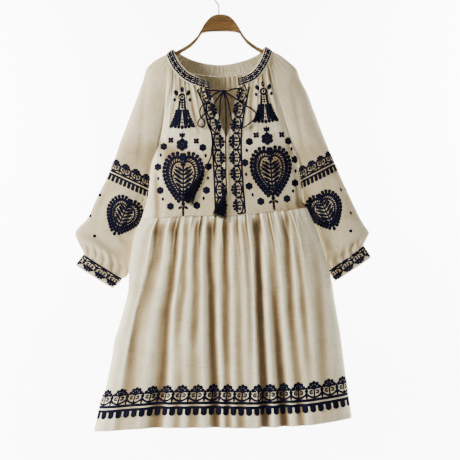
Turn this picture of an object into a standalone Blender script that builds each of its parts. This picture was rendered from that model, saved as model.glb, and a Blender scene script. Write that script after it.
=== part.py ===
"""A long-sleeved peasant dress with a gathered skirt, hung on a bent-wood hanger.

The scene is in metres. The tables are in millimetres: x runs to the viewer's right, y away from the
viewer, and drop is how far a place lies below the hook's rest, which is the origin.
Every cloth piece is cut from one net of points, so neighbours share their seams and their normals.
"""

import math

import bmesh
import bpy
from mathutils import Matrix, Vector

MM = 0.001
# Steps to a point when a curve's length is measured
FINE_STEPS = 12

# Cloth
WALL = 1.2
BAND_WALL = 2.4
BAND_PROUD = 0.6
SEAM_GAP = 0.3
SLEEVE_GAP = 0.4
SKIRT_GAP = 0.5
BAND_GAP = 1.1
MERGE = 0.02

# Columns and rows of the net
FRONT_COLUMNS = 14
SLEEVE_HALF_COLUMNS = 9
BACK_COLUMNS = 20
YOKE_ROWS = 7
BODY_ROWS = 4
SLIT_ROWS = 4
FOLD_STEPS = 3

# Colours, roughness and metallic value
LINEN = ((0.80, 0.74, 0.62), 0.9, 0.0)
CORD_NAVY = ((0.012, 0.012, 0.03), 0.8, 0.0)
WOOD = ((0.55, 0.36, 0.17), 0.5, 0.0)
BLACK_WIRE = ((0.02, 0.02, 0.02), 0.35, 0.8)

# The round neck, from the slit's right edge round the back to its left edge:
# the seam on the neckband's outer edge, then the band's inner edge.
# name, x, drop, y, inner x, inner drop, inner y
NECK = (
    ("slit right", 47, 261, -37, 45, 244, -33),
    ("front right", 88, 248, -36, 79, 225, -31),
    ("front right high", 112, 222, -32, 96, 204, -26),
    ("raglan front right", 124, 199, -25, 106, 184, -20),
    ("shoulder right", 133, 170, 0, 114, 158, 0),
    ("raglan back right", 119, 196, 24, 98, 174, 18),
    ("back right", 69, 221, 31, 59, 190, 25),
    ("back", 1, 229, 33, 1, 200, 28),
    ("back left", -66, 222, 31, -59, 191, 25),
    ("raglan back left", -119, 201, 24, -99, 174, 18),
    ("shoulder left", -133, 178, 0, -117, 165, 0),
    ("raglan front left", -126, 205, -25, -106, 188, -20),
    ("front left high", -112, 227, -32, -94, 208, -26),
    ("front left", -82, 252, -36, -71, 230, -31),
    ("slit left", -24, 270, -37, -27, 251, -33),
)
RAGLAN_FRONT_RIGHT = 3
SHOULDER_RIGHT = 4
RAGLAN_BACK_RIGHT = 5
RAGLAN_BACK_LEFT = 9
SHOULDER_LEFT = 10
RAGLAN_FRONT_LEFT = 11

# Seams from the neckband down: x, drop, y
RAGLAN = {
    "front right": (
        (124, 199, -25), (135, 245, -30), (149, 295, -30), (163, 345, -26), (177, 388, -17),
        (190, 422, 0),
    ),
    "back right": (
        (119, 196, 24), (131, 245, 28), (146, 295, 28), (161, 345, 24), (176, 388, 15),
        (190, 422, 0),
    ),
    "back left": (
        (-119, 201, 24), (-127, 245, 28), (-133, 295, 28), (-141, 345, 24), (-150, 383, 15),
        (-158, 412, 0),
    ),
    "front left": (
        (-126, 205, -25), (-130, 245, -30), (-135, 295, -30), (-142, 345, -26), (-150, 383, -17),
        (-158, 412, 0),
    ),
}
SIDE = {
    "right": (
        (190, 422, 0), (196, 446, 0), (199, 470, 0), (203, 490, 0), (207, 518, 0), (210.5, 552, 0),
        (220, 564, 0),
    ),
    "left": (
        (-158, 412, 0), (-165, 432, 0), (-170, 452, 0), (-175, 490, 0), (-181, 535, 0),
        (-189, 565, 0), (-197, 592, 0),
    ),
}
# The slit's two edges, which meet at its foot and run on as one seam to the waist
SLIT_RIGHT = ((47, 261, -37), (38, 302, -40), (29, 348, -42), (18, 392, -43))
SLIT_LEFT = ((-24, 270, -37), (-11, 307, -40), (5, 358, -42), (18, 392, -43))
CENTRE_SEAM = ((18, 392, -43), (22, 450, -43), (24, 508, -41))
WAIST_CENTRE_X = 26

# The sleeve's outer fold over the hanger's arm, from the neck seam to the underarm's level
RIDGE = {
    "right": (
        (133, 170), (149, 177), (164, 187.5), (177, 198), (194, 215), (204, 242), (221, 275),
        (236, 315), (251, 355), (264, 388),
    ),
    "left": (
        (-133, 178), (-149, 185), (-166, 195), (-184, 213), (-192, 240), (-204, 275), (-219, 315),
        (-234, 355), (-251, 398),
    ),
}
# Sections of the sleeves below the underarm; the last one is the cuff's lower edge.
# inner x, inner drop, outer x, outer drop, middle y, half depth, height of the gathers
SLEEVE = {
    "right": (
        (197, 452, 281, 428, 9, 17, 0),
        (206, 525, 299, 468, 18, 18, 0),
        (212, 558, 316, 505, 22, 19, 0),
        (229, 590, 334, 542, 25, 20, 0),
        (242, 622, 351, 578, 27, 21, 0.4),
        (254, 655, 368, 608, 28, 22, 0.8),
        (262, 684, 380, 626, 29, 22, 1.4),
        (268, 706, 375, 640, 29, 21, 2.0),
        (274, 719, 367, 652, 29, 18, 1.6),
        (277, 722, 365, 660, 28, 15, 0),
        (294, 750, 384, 690, 28, 14, 0),
    ),
    "left": (
        (-171, 452, -260, 422, 9, 17, 0),
        (-179, 525, -281, 478, 18, 18, 0),
        (-185, 558, -299, 515, 22, 19, 0),
        (-194, 590, -316, 550, 25, 20, 0),
        (-210, 625, -334, 586, 27, 21, 0.4),
        (-216, 655, -357, 611, 28, 22, 0.8),
        (-221, 687, -367, 630, 29, 22, 1.4),
        (-226, 715, -358, 654, 29, 21, 2.0),
        (-236, 737, -348, 672, 29, 18, 1.6),
        (-248, 742, -344, 682, 28, 15, 0),
        (-272, 768, -365, 710, 28, 14, 0),
    ),
}
UNDERARM_HALF_DEPTH = 17
# Powers that shape a sleeve's section: how late it leaves the body's seam, how soon, and how full it is
SLEEVE_HOLD = 2.4
SLEEVE_RELEASE = 0.55
SLEEVE_FULLNESS = 0.85

# The power of the curve that the flattened body's section follows
BODY_FULLNESS = 2.6
# Drops of the waist seam and the hem at even steps across the front, left to right
WAIST = (592, 587.5, 584.5, 582.5, 573.5, 564)
HEM = (1126, 1114, 1110, 1111, 1107, 1092)
BACK_HEM_LOWER = 9
WAIST_DEPTH_FRONT, WAIST_DEPTH_BACK = 38, 30
HEM_DEPTH_FRONT, HEM_DEPTH_BACK = 60, 52
# The skirt's side seams: share of the way down, x
SKIRT_SIDE = {
    "left": (
        (0, -197), (0.04, -207), (0.06, -212), (0.15, -222), (0.24, -228), (0.34, -230),
        (0.42, -241), (0.49, -251), (0.57, -265), (0.68, -274), (0.79, -286), (0.87, -301),
        (1, -317),
    ),
    "right": (
        (0, 220), (0.04, 230), (0.09, 241), (0.13, 250), (0.18, 258), (0.26, 270), (0.35, 283),
        (0.44, 290), (0.59, 304), (0.74, 314), (0.89, 324), (1, 334),
    ),
}
SKIRT_ROWS = (0, 0.02, 0.06, 0.13, 0.22, 0.33, 0.46, 0.6, 0.74, 0.88, 1)
# The skirt's folds: the drops at which the table gives each valley's x
FOLD_DROPS = (595, 682, 820, 1120)
# x at those four drops, then the valley's depth near the waist, at the middle and at the hem
FRONT_FOLDS = (
    (-178, -196, -221, -289, 5, 3, 1),
    (-155, -161, -204, -256, 13, 15, 8),
    (-106, -110, -129, -154, 12, 17, 17),
    (-79, -87, -104, -109, 7, 8, 6),
    (-51, -59, -61, -69, 7, 5, 6),
    (-20, -24, -18, -6, 12, 16, 15),
    (18, 14, 12, 22, 9, 10, 9),
    (38, 43, 46, 50, 6, 6, 6),
    (58, 72, 78, 83, 5, 3, 1),
    (91, 94, 98, 110, 14, 20, 19),
    (121, 127, 138, 162, 5, 15, 21),
    (168, 171, 177, 201, 9, 11, 8),
    (185, 194, 209, 236, 5, 6, 3),
    (201, 214, 232, 268, 5, 2, 2),
)
# The back's folds: share across at the waist and at the hem, then the three depths
BACK_FOLDS = (
    (0.05, 0.06, 6, 5, 3), (0.12, 0.14, 9, 11, 9), (0.20, 0.21, 7, 6, 5), (0.28, 0.29, 11, 14, 12),
    (0.37, 0.37, 6, 5, 4), (0.45, 0.46, 10, 12, 11), (0.55, 0.56, 12, 15, 14),
    (0.63, 0.64, 6, 4, 2), (0.71, 0.73, 9, 11, 10), (0.80, 0.81, 8, 8, 7), (0.88, 0.89, 10, 11, 9),
    (0.95, 0.95, 5, 5, 3),
)
FOLD_START = 2.0
# How quickly a valley closes towards the next ridge, and how near the side seams the folds fade
FOLD_NARROWNESS = 2.4
FOLD_SHARPNESS = 1.5
FOLD_SIDE_FADE = 6.0
NECK_GATHER = 1.6
WAIST_GATHER = 0.8
BAND_GATHER = 1.2
BAND_FULLNESS = 1.03

# Hanger
HANGER_SHIFT = 2.0
HANGER_TILT = 0.3
HANGER_THICK = 11.0
HANGER_EDGE = 2.2
# Only edges sharper than this many degrees are eased
EASED_ABOVE = 50
HANGER_UPPER = (
    (0, 76.2), (10, 77), (20.5, 80), (28.5, 86), (36, 94), (42, 102), (46.5, 110), (52.5, 120.5),
    (57.5, 129), (63, 136), (70, 143), (79, 150.5), (89, 157), (104, 165), (120, 173.3),
    (136, 182), (152, 190.4), (166, 198.4), (172, 202.4), (175, 206.4),
)
HANGER_LOWER = (
    (174, 209.4), (170, 210.4), (162, 207), (147, 199), (132, 190.4), (117, 182.4), (103, 175),
    (88.5, 167.5), (75, 158.5), (65, 149.5), (55, 136.5), (47, 124.5), (36, 121.6), (18, 120.4),
    (0, 120),
)
WIRE = 3.6
# The stem from its foot in the wood up to the hook: x, drop
STEM = ((-2, 75.9), (-2, 66), (-2, 57), (-5.5, 49), (-11.5, 41))
HOOK_RADIUS = 18.8
HOOK_START_ANGLE, HOOK_TIP_ANGLE = 222, -35
HOOK_STEPS = 16
WIRE_PIECES = 32

# The drawstring, a round cord tied in a bow over the slit: x, drop, y of each stretch
CORD = 2.5
KNOT = (11, 276.5, -43.5)
KNOT_RADIUS = 4.3
KNOT_SIDES, KNOT_RINGS = 12, 8
TIE_LEFT = (
    (-28.5, 273.5, -39.6), (-18.8, 273, -41), (-8.8, 273.2, -42), (1, 275, -41.6), (6.7, 276.3, -41),
)
TIE_RIGHT = (
    (54, 269, -39.6), (41, 268.5, -41.5), (31, 271, -42), (21, 273.5, -41.6), (15.2, 275.5, -41),
)
LOOP_LEFT = (
    (7.1, 277.2, -46.5), (1, 277, -47.3), (-8.8, 280, -46), (-19.5, 289.5, -44), (-33, 305, -44.3),
    (-42.5, 311.5, -44.8), (-48, 322, -45.3), (-48, 332.8, -45.2), (-45.2, 341, -45.6),
    (-38.5, 348, -46), (-35.8, 355.8, -46.2), (-38.5, 362.5, -46.2), (-44.5, 364.8, -46.3),
    (-51.5, 361.2, -46.8), (-53.5, 354.5, -47.5), (-49.5, 346.2, -48.8), (-44, 339.5, -49.3),
    (-36, 332, -48.6), (-29, 326, -47.2), (-16.7, 313.8, -44.5), (-8.8, 300.2, -43.5),
    (0, 287.5, -43.2), (7.2, 279.7, -43),
)
LOOP_RIGHT = (
    (15.4, 278.8, -43.5), (29.2, 286.8, -43), (51, 301.5, -43.6), (65.8, 311.5, -44.5),
    (79.2, 319.5, -45), (88.8, 328.8, -45.8), (91, 338.5, -45.8), (86.2, 346.2, -46.3),
    (72.5, 357.2, -46), (61.7, 365, -46), (51, 366, -45.6), (41.5, 361.2, -45.2),
    (33.3, 351.8, -44.8), (29.2, 341, -45), (25.8, 324.8, -46), (21, 300.2, -47),
    (16.5, 288, -47.5), (12.5, 280.2, -46.5),
)
TAIL_LEFT = (
    (9.6, 280.2, -46.4), (5.5, 287, -47.6), (2.6, 297, -47.2), (1.5, 308.5, -46.6),
    (0.8, 330, -46), (-2, 347.8, -45.8), (-10, 377.5, -46.2), (-18.3, 411.8, -45.6),
    (-20.8, 437.2, -44.4), (-30.5, 458, -42.2), (-40, 472, -41.4),
)
TAIL_RIGHT = (
    (11.1, 280.6, -40.8), (13.5, 290, -41.6), (15.8, 313.8, -43), (16.2, 340, -44),
    (16.2, 361.2, -44.8), (15.8, 392, -45.8), (15.8, 419.5, -45.6), (16.2, 450, -44.9),
    (16.2, 485, -44.3), (16.2, 521, -44.2),
)
LOOP_STEP = 8.5
TAIL_STEP = 15.0

# Tassels: the foot of each one's middle, its spread there and half depth
TASSEL_LEFT = ((-83, 553, -42), 35, 3.0)
TASSEL_RIGHT = ((-1, 590, -45.6), 40, 3.0)
# The head, from the cord down: share of its height, half width
TASSEL_HEAD = ((0, 1.6), (0.2, 3.6), (0.55, 4.4), (0.78, 3.7), (1, 4.8))
TASSEL_HEAD_HEIGHT = 9.0
TASSEL_FLATNESS = 0.7
TASSEL_SIDES = 24
# How far every second thread's foot is drawn in
TASSEL_FLUTE = 0.14


def place(x, drop, y):
    """A place from the tables, in metres."""
    return Vector((x, y, -drop)) * MM


def smooth(points, t):
    """The point at t, from 0 to 1, on a smooth curve through the points."""
    span = min(max(t, 0.0), 1.0) * (len(points) - 1)
    i = min(int(span), len(points) - 2)
    f = span - i
    b, c = points[i], points[i + 1]
    a = points[i - 1] if i else b * 2 - c
    d = points[i + 2] if i + 2 < len(points) else c * 2 - b
    return (b * 2 + (c - a) * f + (a * 2 - b * 5 + c * 4 - d) * f**2 + (b * 3 - a - c * 3 + d) * f**3) / 2


def spaced(points, count):
    """Points along the smooth curve at even lengths, count + 1 of them."""
    steps = FINE_STEPS * len(points)
    fine = [smooth(points, k / steps) for k in range(steps + 1)]
    run = [0.0]
    for a, b in zip(fine, fine[1:]):
        run.append(run[-1] + (b - a).length)
    found = []
    for k in range(count + 1):
        length = k / count * run[-1]
        i = min(max(sum(1 for r in run if r < length) - 1, 0), len(fine) - 2)
        found.append(fine[i].lerp(fine[i + 1], (length - run[i]) / (run[i + 1] - run[i])))
    return found


def table(rows, key, column=1):
    """The value in a column, between the rows on either side of key."""
    for low, high in zip(rows, rows[1:]):
        if key <= high[0]:
            break
    f = (key - low[0]) / (high[0] - low[0])
    return low[column] + (high[column] - low[column]) * min(max(f, 0.0), 1.0)


def mix(a, b, f):
    """The value a share f of the way from a to b."""
    return a + (b - a) * f


def neck_edge(start, end, count, edge):
    """Points along the neck seam (edge 0) or the band's inner edge (edge 1) between two stations."""
    stations = [place(*row[1 + 3 * edge : 4 + 3 * edge]) for row in NECK]
    steps = 2 * FINE_STEPS
    fine = [smooth(stations, mix(start, end, k / steps) / (len(NECK) - 1)) for k in range(steps + 1)]
    return spaced(fine, count)


def loft_between(top, bottom, left, right):
    """Rows of points that fill the patch between four edges (a Coons patch)."""
    rows = []
    for r in range(len(left)):
        v = r / (len(left) - 1)
        row = []
        for c in range(len(top)):
            u = c / (len(top) - 1)
            across = left[r].lerp(right[r], u)
            down = top[c].lerp(bottom[c], v)
            corners = top[0].lerp(top[-1], u).lerp(bottom[0].lerp(bottom[-1], u), v)
            row.append(across + down - corners)
        rows.append(row)
    return rows


def roundness(across):
    """How full the flattened body is at a share of its width: 0 at the sides, 1 at the middle."""
    return math.sqrt(max(0.0, 1 - abs(2 * across - 1) ** BODY_FULLNESS))


def skirt_point(v, across, back):
    """A point of the skirt's plain form, without its folds. The waist seam is where v is 0."""
    drop = mix(smooth(WAIST, across), smooth(HEM, across), v)
    ease = math.sin(math.pi * min(1.0, across * 2, 2 - across * 2) / 2)
    x = mix(table(SKIRT_SIDE["left"], v), table(SKIRT_SIDE["right"], v), across)
    if back:
        depth = mix(WAIST_DEPTH_BACK, HEM_DEPTH_BACK, math.sqrt(v))
        return place(x, drop + BACK_HEM_LOWER * v * ease, depth * roundness(across))
    return place(x, drop, -mix(WAIST_DEPTH_FRONT, HEM_DEPTH_FRONT, math.sqrt(v)) * roundness(across))


def fold_depth(v, depths):
    """A valley's depth at v: shallow at the seam, then the table's three depths."""
    rows = ((0, FOLD_START), (0.06, depths[0]), (0.45, depths[1]), (1, depths[2]))
    return table(rows, v)


def valley(f):
    """The share of a valley's depth at f of the way to the next one."""
    return max(0.0, 1 - FOLD_NARROWNESS * f) ** FOLD_SHARPNESS


def skirt_panel(back):
    """The skirt's front or back, its columns running along the valleys and the ridges between them."""
    rows = []
    for v in SKIRT_ROWS:
        left, right = table(SKIRT_SIDE["left"], v), table(SKIRT_SIDE["right"], v)
        valleys = [(0.0, 0.0)]
        for fold in BACK_FOLDS if back else FRONT_FOLDS:
            if back:
                valleys.append((mix(fold[0], fold[1], v), fold_depth(v, fold[2:])))
                continue
            xs = tuple(zip(FOLD_DROPS, fold[:4]))
            drop = mix(WAIST[2], HEM[2], v)
            valleys.append(((table(xs, drop) - left) / (right - left), fold_depth(v, fold[4:])))
        valleys.append((1.0, 0.0))
        row = []
        for (a, deep_a), (b, deep_b) in zip(valleys, valleys[1:]):
            for k in range(FOLD_STEPS):
                f = k / FOLD_STEPS
                across = mix(a, b, f)
                inward = deep_a * valley(f) + deep_b * valley(1 - f)
                inward *= min(1.0, FOLD_SIDE_FADE * min(across, 1 - across))
                point = skirt_point(v, across, back)
                point.y += inward * MM * (-1 if back else 1)
                row.append(point)
        row.append(skirt_point(v, 1.0, back))
        rows.append(row[::-1] if back else row)
    return rows


def gathered(rows, neck, waist):
    """Puckers a panel in and out, column by column, just below the neck seam and above the waist seam."""
    for r, row in enumerate(rows):
        v = r / (len(rows) - 1)
        height = neck * (1 - v) ** 3 + waist * v**6
        for c in range(1, len(row) - 1):
            row[c].y += height * MM * (1 if c % 2 else -1)
    return rows


def down_side(raglan, side):
    """The panel's edge: the raglan seam to the underarm, then the side seam to the waist."""
    upper = spaced([place(*p) for p in RAGLAN[raglan]], YOKE_ROWS)
    return upper + spaced([place(*p) for p in SIDE[side]], BODY_ROWS)[1:]


def centre_edge(slit, foot):
    """The front panel's inner edge: down the slit, then down the centre seam to its foot at the waist."""
    upper = spaced([place(*p) for p in slit], SLIT_ROWS)
    seam = [place(*p) for p in CENTRE_SEAM] + [foot]
    return upper + spaced(seam, YOKE_ROWS + BODY_ROWS - SLIT_ROWS)[1:]


def waist_edge(start, end, count, back):
    return [skirt_point(0, mix(start, end, k / count), back) for k in range(count + 1)]


def front_panel(side):
    left, right = SKIRT_SIDE["left"][0][1], SKIRT_SIDE["right"][0][1]
    centre_across = (WAIST_CENTRE_X - left) / (right - left)
    foot = skirt_point(0, centre_across, False)
    if side == "right":
        top = neck_edge(0, RAGLAN_FRONT_RIGHT, FRONT_COLUMNS, 0)
        bottom = waist_edge(centre_across, 1, FRONT_COLUMNS, False)
        rows = loft_between(top, bottom, centre_edge(SLIT_RIGHT, foot), down_side("front right", "right"))
    else:
        top = neck_edge(RAGLAN_FRONT_LEFT, len(NECK) - 1, FRONT_COLUMNS, 0)
        bottom = waist_edge(0, centre_across, FRONT_COLUMNS, False)
        rows = loft_between(top, bottom, down_side("front left", "left"), centre_edge(SLIT_LEFT, foot))
    return gathered(rows, NECK_GATHER, WAIST_GATHER)


def back_panel():
    top = neck_edge(RAGLAN_BACK_RIGHT, RAGLAN_BACK_LEFT, BACK_COLUMNS, 0)
    bottom = waist_edge(1, 0, BACK_COLUMNS, True)
    rows = loft_between(top, bottom, down_side("back right", "right"), down_side("back left", "left"))
    return gathered(rows, NECK_GATHER, WAIST_GATHER)


def sleeve_half(side, back):
    """Rows from the inner edge to the outer fold: the yoke's rows, then the sections below the underarm."""
    facing = 1 if back else -1
    seam = spaced([place(*p) for p in RAGLAN[("back " if back else "front ") + side]], YOKE_ROWS)
    ridge = spaced([place(x, drop, 0) for x, drop in RIDGE[side]], YOKE_ROWS)
    ends = {
        ("right", False): (RAGLAN_FRONT_RIGHT, SHOULDER_RIGHT),
        ("right", True): (RAGLAN_BACK_RIGHT, SHOULDER_RIGHT),
        ("left", False): (RAGLAN_FRONT_LEFT, SHOULDER_LEFT),
        ("left", True): (RAGLAN_BACK_LEFT, SHOULDER_LEFT),
    }
    low, high = sorted(ends[side, back])
    top = neck_edge(low, high, SLEEVE_HALF_COLUMNS, 0)
    if (low, high) != ends[side, back]:
        top.reverse()
    turns = [k / SLEEVE_HALF_COLUMNS for k in range(SLEEVE_HALF_COLUMNS + 1)]
    shares = [(1 - math.cos(math.pi * u)) / 2 for u in turns]

    def section(inner, outer, depth):
        row = []
        for u, s in zip(turns, shares):
            point = inner.lerp(outer, s)
            level = mix(outer.y, inner.y, (1 - s**SLEEVE_HOLD) ** SLEEVE_RELEASE)
            point.y = level + facing * depth * MM * math.sin(math.pi * u) ** SLEEVE_FULLNESS
            row.append(point)
        return row

    rows = []
    for r in range(YOKE_ROWS + 1):
        v = r / YOKE_ROWS
        row = section(seam[r], ridge[r], UNDERARM_HALF_DEPTH * v**1.5)
        if r == 0:
            off = [t - p for t, p in zip(top, row)]
        row = [p + o * (1 - v) ** 2 for p, o in zip(row, off)]
        rows.append(row)
    for inner_x, inner_drop, outer_x, outer_drop, middle, depth, gather in SLEEVE[side]:
        row = section(place(inner_x, inner_drop, middle), place(outer_x, outer_drop, middle), depth)
        for c in range(1, SLEEVE_HALF_COLUMNS):
            row[c].y += gather * MM * (1 if c % 2 else -1)
        rows.append(row)
    return rows


def sleeve_panel(side):
    """The whole sleeve, front and back, its columns running round as the body's do."""
    front, back = sleeve_half(side, False), sleeve_half(side, True)
    if side == "right":
        return [f + b[::-1][1:] for f, b in zip(front, back)]
    return [b + f[::-1][1:] for f, b in zip(front, back)]


def band_panel(runs, ruffle):
    """The neckband above a run of neck seams: its inner edge, a fuller middle and the seam itself."""
    inner, seam = [], []
    for start, end, count in runs:
        inner += neck_edge(start, end, count, 1)[1 if inner else 0 :]
        seam += neck_edge(start, end, count, 0)[1 if seam else 0 :]
    rows = [inner]
    for share in (0.33, 0.67):
        row = [a.lerp(b, share) for a, b in zip(inner, seam)]
        for c in range(1, len(row) - 1):
            row[c].y = row[c].y * BAND_FULLNESS + ruffle * MM * (1 if c % 2 else -1)
        rows.append(row)
    return rows + [seam]


def key_of(point):
    return tuple(round(c / (MERGE * MM)) for c in point)


def net_normals(panels, level_rows):
    """Each point's outward normal, averaged over the panels that meet there, level along the given rows."""
    normals = {}
    for rows in panels:
        for upper, lower in zip(rows, rows[1:]):
            for c in range(len(upper) - 1):
                corners = (upper[c], lower[c], lower[c + 1], upper[c + 1])
                facing = (corners[2] - corners[0]).cross(corners[3] - corners[1]).normalized()
                for corner in corners:
                    key = key_of(corner)
                    normals[key] = normals.get(key, Vector()) + facing
    for row in level_rows:
        for point in row:
            normals[key_of(point)].z = 0
    return {key: value.normalized() for key, value in normals.items()}


def drawn_in(rows, gap):
    """The panel with its edges pulled in by half the seam gap."""
    half = gap * MM / 2
    last_row, last_column = len(rows) - 1, len(rows[0]) - 1
    result = []
    for r, row in enumerate(rows):
        moved = []
        for c, point in enumerate(row):
            shift = Vector()
            if r in (0, last_row):
                shift += (rows[1 if r == 0 else r - 1][c] - point).normalized() * half
            if c in (0, last_column):
                shift += (row[1 if c == 0 else c - 1] - point).normalized() * half
            moved.append(point + shift)
        result.append(moved)
    return result


def material(name, finish):
    colour, roughness, metallic = finish
    made = bpy.data.materials.new(name)
    made.use_nodes = True
    shader = made.node_tree.nodes["Principled BSDF"]
    shader.inputs["Base Color"].default_value = (*colour, 1.0)
    shader.inputs["Roughness"].default_value = roughness
    shader.inputs["Metallic"].default_value = metallic
    made.diffuse_color = (*colour, 1.0)
    return made


def finish_object(name, data, collection, finish):
    piece = bpy.data.objects.new(name, data)
    piece.data.materials.append(material(name, finish))
    collection.objects.link(piece)
    return piece


def cloth_piece(name, rows, normals, collection, wall=WALL, proud=0.0, gap=SEAM_GAP):
    """A closed wall: the panel's points moved out by proud, the same points a wall deeper, and the rim."""
    outer, inner = [], []
    edges = drawn_in(rows, gap)
    for row, placed in zip(rows, edges):
        for point, moved in zip(row, placed):
            normal = normals[key_of(point)]
            outer.append(moved + normal * proud * MM)
            inner.append(moved - normal * (wall - proud) * MM)
    height, width = len(rows), len(rows[0])
    count = height * width
    faces = []
    for r in range(height - 1):
        for c in range(width - 1):
            a = r * width + c
            quad = (a, a + width, a + width + 1, a + 1)
            faces.append(quad)
            faces.append(tuple(count + i for i in reversed(quad)))
    ring = list(range(width))
    ring += [r * width + width - 1 for r in range(1, height)]
    ring += [(height - 1) * width + c for c in range(width - 2, -1, -1)]
    ring += [r * width for r in range(height - 2, 0, -1)]
    for a, b in zip(ring, ring[1:] + ring[:1]):
        if outer[a].z > outer[b].z:
            faces += [(a, b, count + b), (a, count + b, count + a)]
        else:
            faces += [(a, b, count + a), (b, count + b, count + a)]
    mesh = bpy.data.meshes.new(name)
    mesh.from_pydata([tuple(p) for p in outer + inner], [], faces)
    mesh.validate()
    mesh.shade_smooth()
    return finish_object(name, mesh, collection, LINEN)


def make_cloth(collection):
    sleeves = {side: sleeve_panel(side) for side in ("left", "right")}
    half, front, back = SLEEVE_HALF_COLUMNS, FRONT_COLUMNS, BACK_COLUMNS
    bodice = {
        "bodice_front_left": front_panel("left"),
        "bodice_front_right": front_panel("right"),
        "bodice_back": back_panel(),
        "sleeve_left": sleeves["left"][:-1],
        "sleeve_right": sleeves["right"][:-1],
        "skirt_front": skirt_panel(False),
        "skirt_back": skirt_panel(True),
    }
    cuffs = {"cuff_" + side: loft_cuff(rows[-2], rows[-1]) for side, rows in sleeves.items()}
    right_runs = ((0, RAGLAN_FRONT_RIGHT, front), (RAGLAN_FRONT_RIGHT, SHOULDER_RIGHT, half))
    back_runs = (
        (SHOULDER_RIGHT, RAGLAN_BACK_RIGHT, half),
        (RAGLAN_BACK_RIGHT, RAGLAN_BACK_LEFT, back),
        (RAGLAN_BACK_LEFT, SHOULDER_LEFT, half),
    )
    left_runs = (
        (SHOULDER_LEFT, RAGLAN_FRONT_LEFT, half),
        (RAGLAN_FRONT_LEFT, len(NECK) - 1, front),
    )
    bands = {
        "neckband_front_right": band_panel(right_runs, 0),
        "neckband_back": band_panel(back_runs, BAND_GATHER),
        "neckband_front_left": band_panel(left_runs, 0),
    }
    waist_rows = [bodice[name][-1] for name in ("bodice_front_left", "bodice_front_right", "bodice_back")]
    waist_rows += [bodice[name][0] for name in ("skirt_front", "skirt_back")]
    gaps = {"sleeve": SLEEVE_GAP, "skirt": SKIRT_GAP}
    normals = net_normals([*bodice.values(), *cuffs.values(), *bands.values()], waist_rows)
    for name, rows in bodice.items():
        gap = gaps.get(name.split("_")[0], SEAM_GAP)
        cloth_piece(name, rows, normals, collection, gap=gap)
    for name, rows in {**cuffs, **bands}.items():
        cloth_piece(name, rows, normals, collection, BAND_WALL, BAND_PROUD, BAND_GAP)


def loft_cuff(top, bottom):
    return [[a.lerp(b, share) for a, b in zip(top, bottom)] for share in (0, 0.5, 1)]


def make_hanger(collection):
    """The wood: an outline of one half and its mirror image, as thick as the wood, with eased edges."""
    half = HANGER_UPPER[1:] + HANGER_LOWER
    outline = [HANGER_UPPER[0], *half] + [(-x, drop) for x, drop in reversed(half) if x]
    mesh = bpy.data.meshes.new("hanger_body")
    shape = bmesh.new()
    corners = [shape.verts.new(place(x, drop, -HANGER_THICK / 2)) for x, drop in outline]
    face = shape.faces.new(corners)
    grown = bmesh.ops.extrude_face_region(shape, geom=[face])["geom"]
    far = [v for v in grown if isinstance(v, bmesh.types.BMVert)]
    bmesh.ops.translate(shape, verts=far, vec=(0, HANGER_THICK * MM, 0))
    bmesh.ops.recalc_face_normals(shape, faces=shape.faces)
    tilt = Matrix.Rotation(math.radians(-HANGER_TILT), 4, "Y")
    shape.transform(tilt @ Matrix.Translation((HANGER_SHIFT * MM, 0, 0)))
    shape.to_mesh(mesh)
    shape.free()
    wood = finish_object("hanger_body", mesh, collection, WOOD)
    eased = wood.modifiers.new("eased edges", "BEVEL")
    eased.width = HANGER_EDGE * MM
    eased.segments = 1
    eased.limit_method = "ANGLE"
    eased.angle_limit = math.radians(EASED_ABOVE)
    return wood


def wire_route():
    """The hook's centre line: up the stem, out to the side and over the top, which is above the rest."""
    points = [place(x, drop, 0) for x, drop in STEM]
    centre_drop = HOOK_RADIUS - WIRE / 2
    for k in range(HOOK_STEPS + 1):
        angle = math.radians(mix(HOOK_START_ANGLE, HOOK_TIP_ANGLE, k / HOOK_STEPS))
        points.append(place(HOOK_RADIUS * math.cos(angle), centre_drop - HOOK_RADIUS * math.sin(angle), 0))
    return points


def tube(name, route, diameter, collection, finish):
    """A round wire or cord: a poly curve with a bevel and filled caps."""
    curve = bpy.data.curves.new(name, "CURVE")
    curve.dimensions = "3D"
    curve.bevel_depth = diameter * MM / 2
    curve.bevel_resolution = 2
    curve.use_fill_caps = True
    spline = curve.splines.new("POLY")
    spline.points.add(len(route) - 1)
    for dot, place_of in zip(spline.points, route):
        dot.co = (*place_of, 1.0)
    return finish_object(name, curve, collection, finish)


def make_knot(collection):
    mesh = bpy.data.meshes.new("bow_knot")
    shape = bmesh.new()
    bmesh.ops.create_uvsphere(shape, u_segments=KNOT_SIDES, v_segments=KNOT_RINGS, radius=KNOT_RADIUS * MM)
    shape.to_mesh(mesh)
    shape.free()
    mesh.shade_smooth()
    knot = finish_object("bow_knot", mesh, collection, CORD_NAVY)
    knot.location = place(*KNOT)


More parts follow.
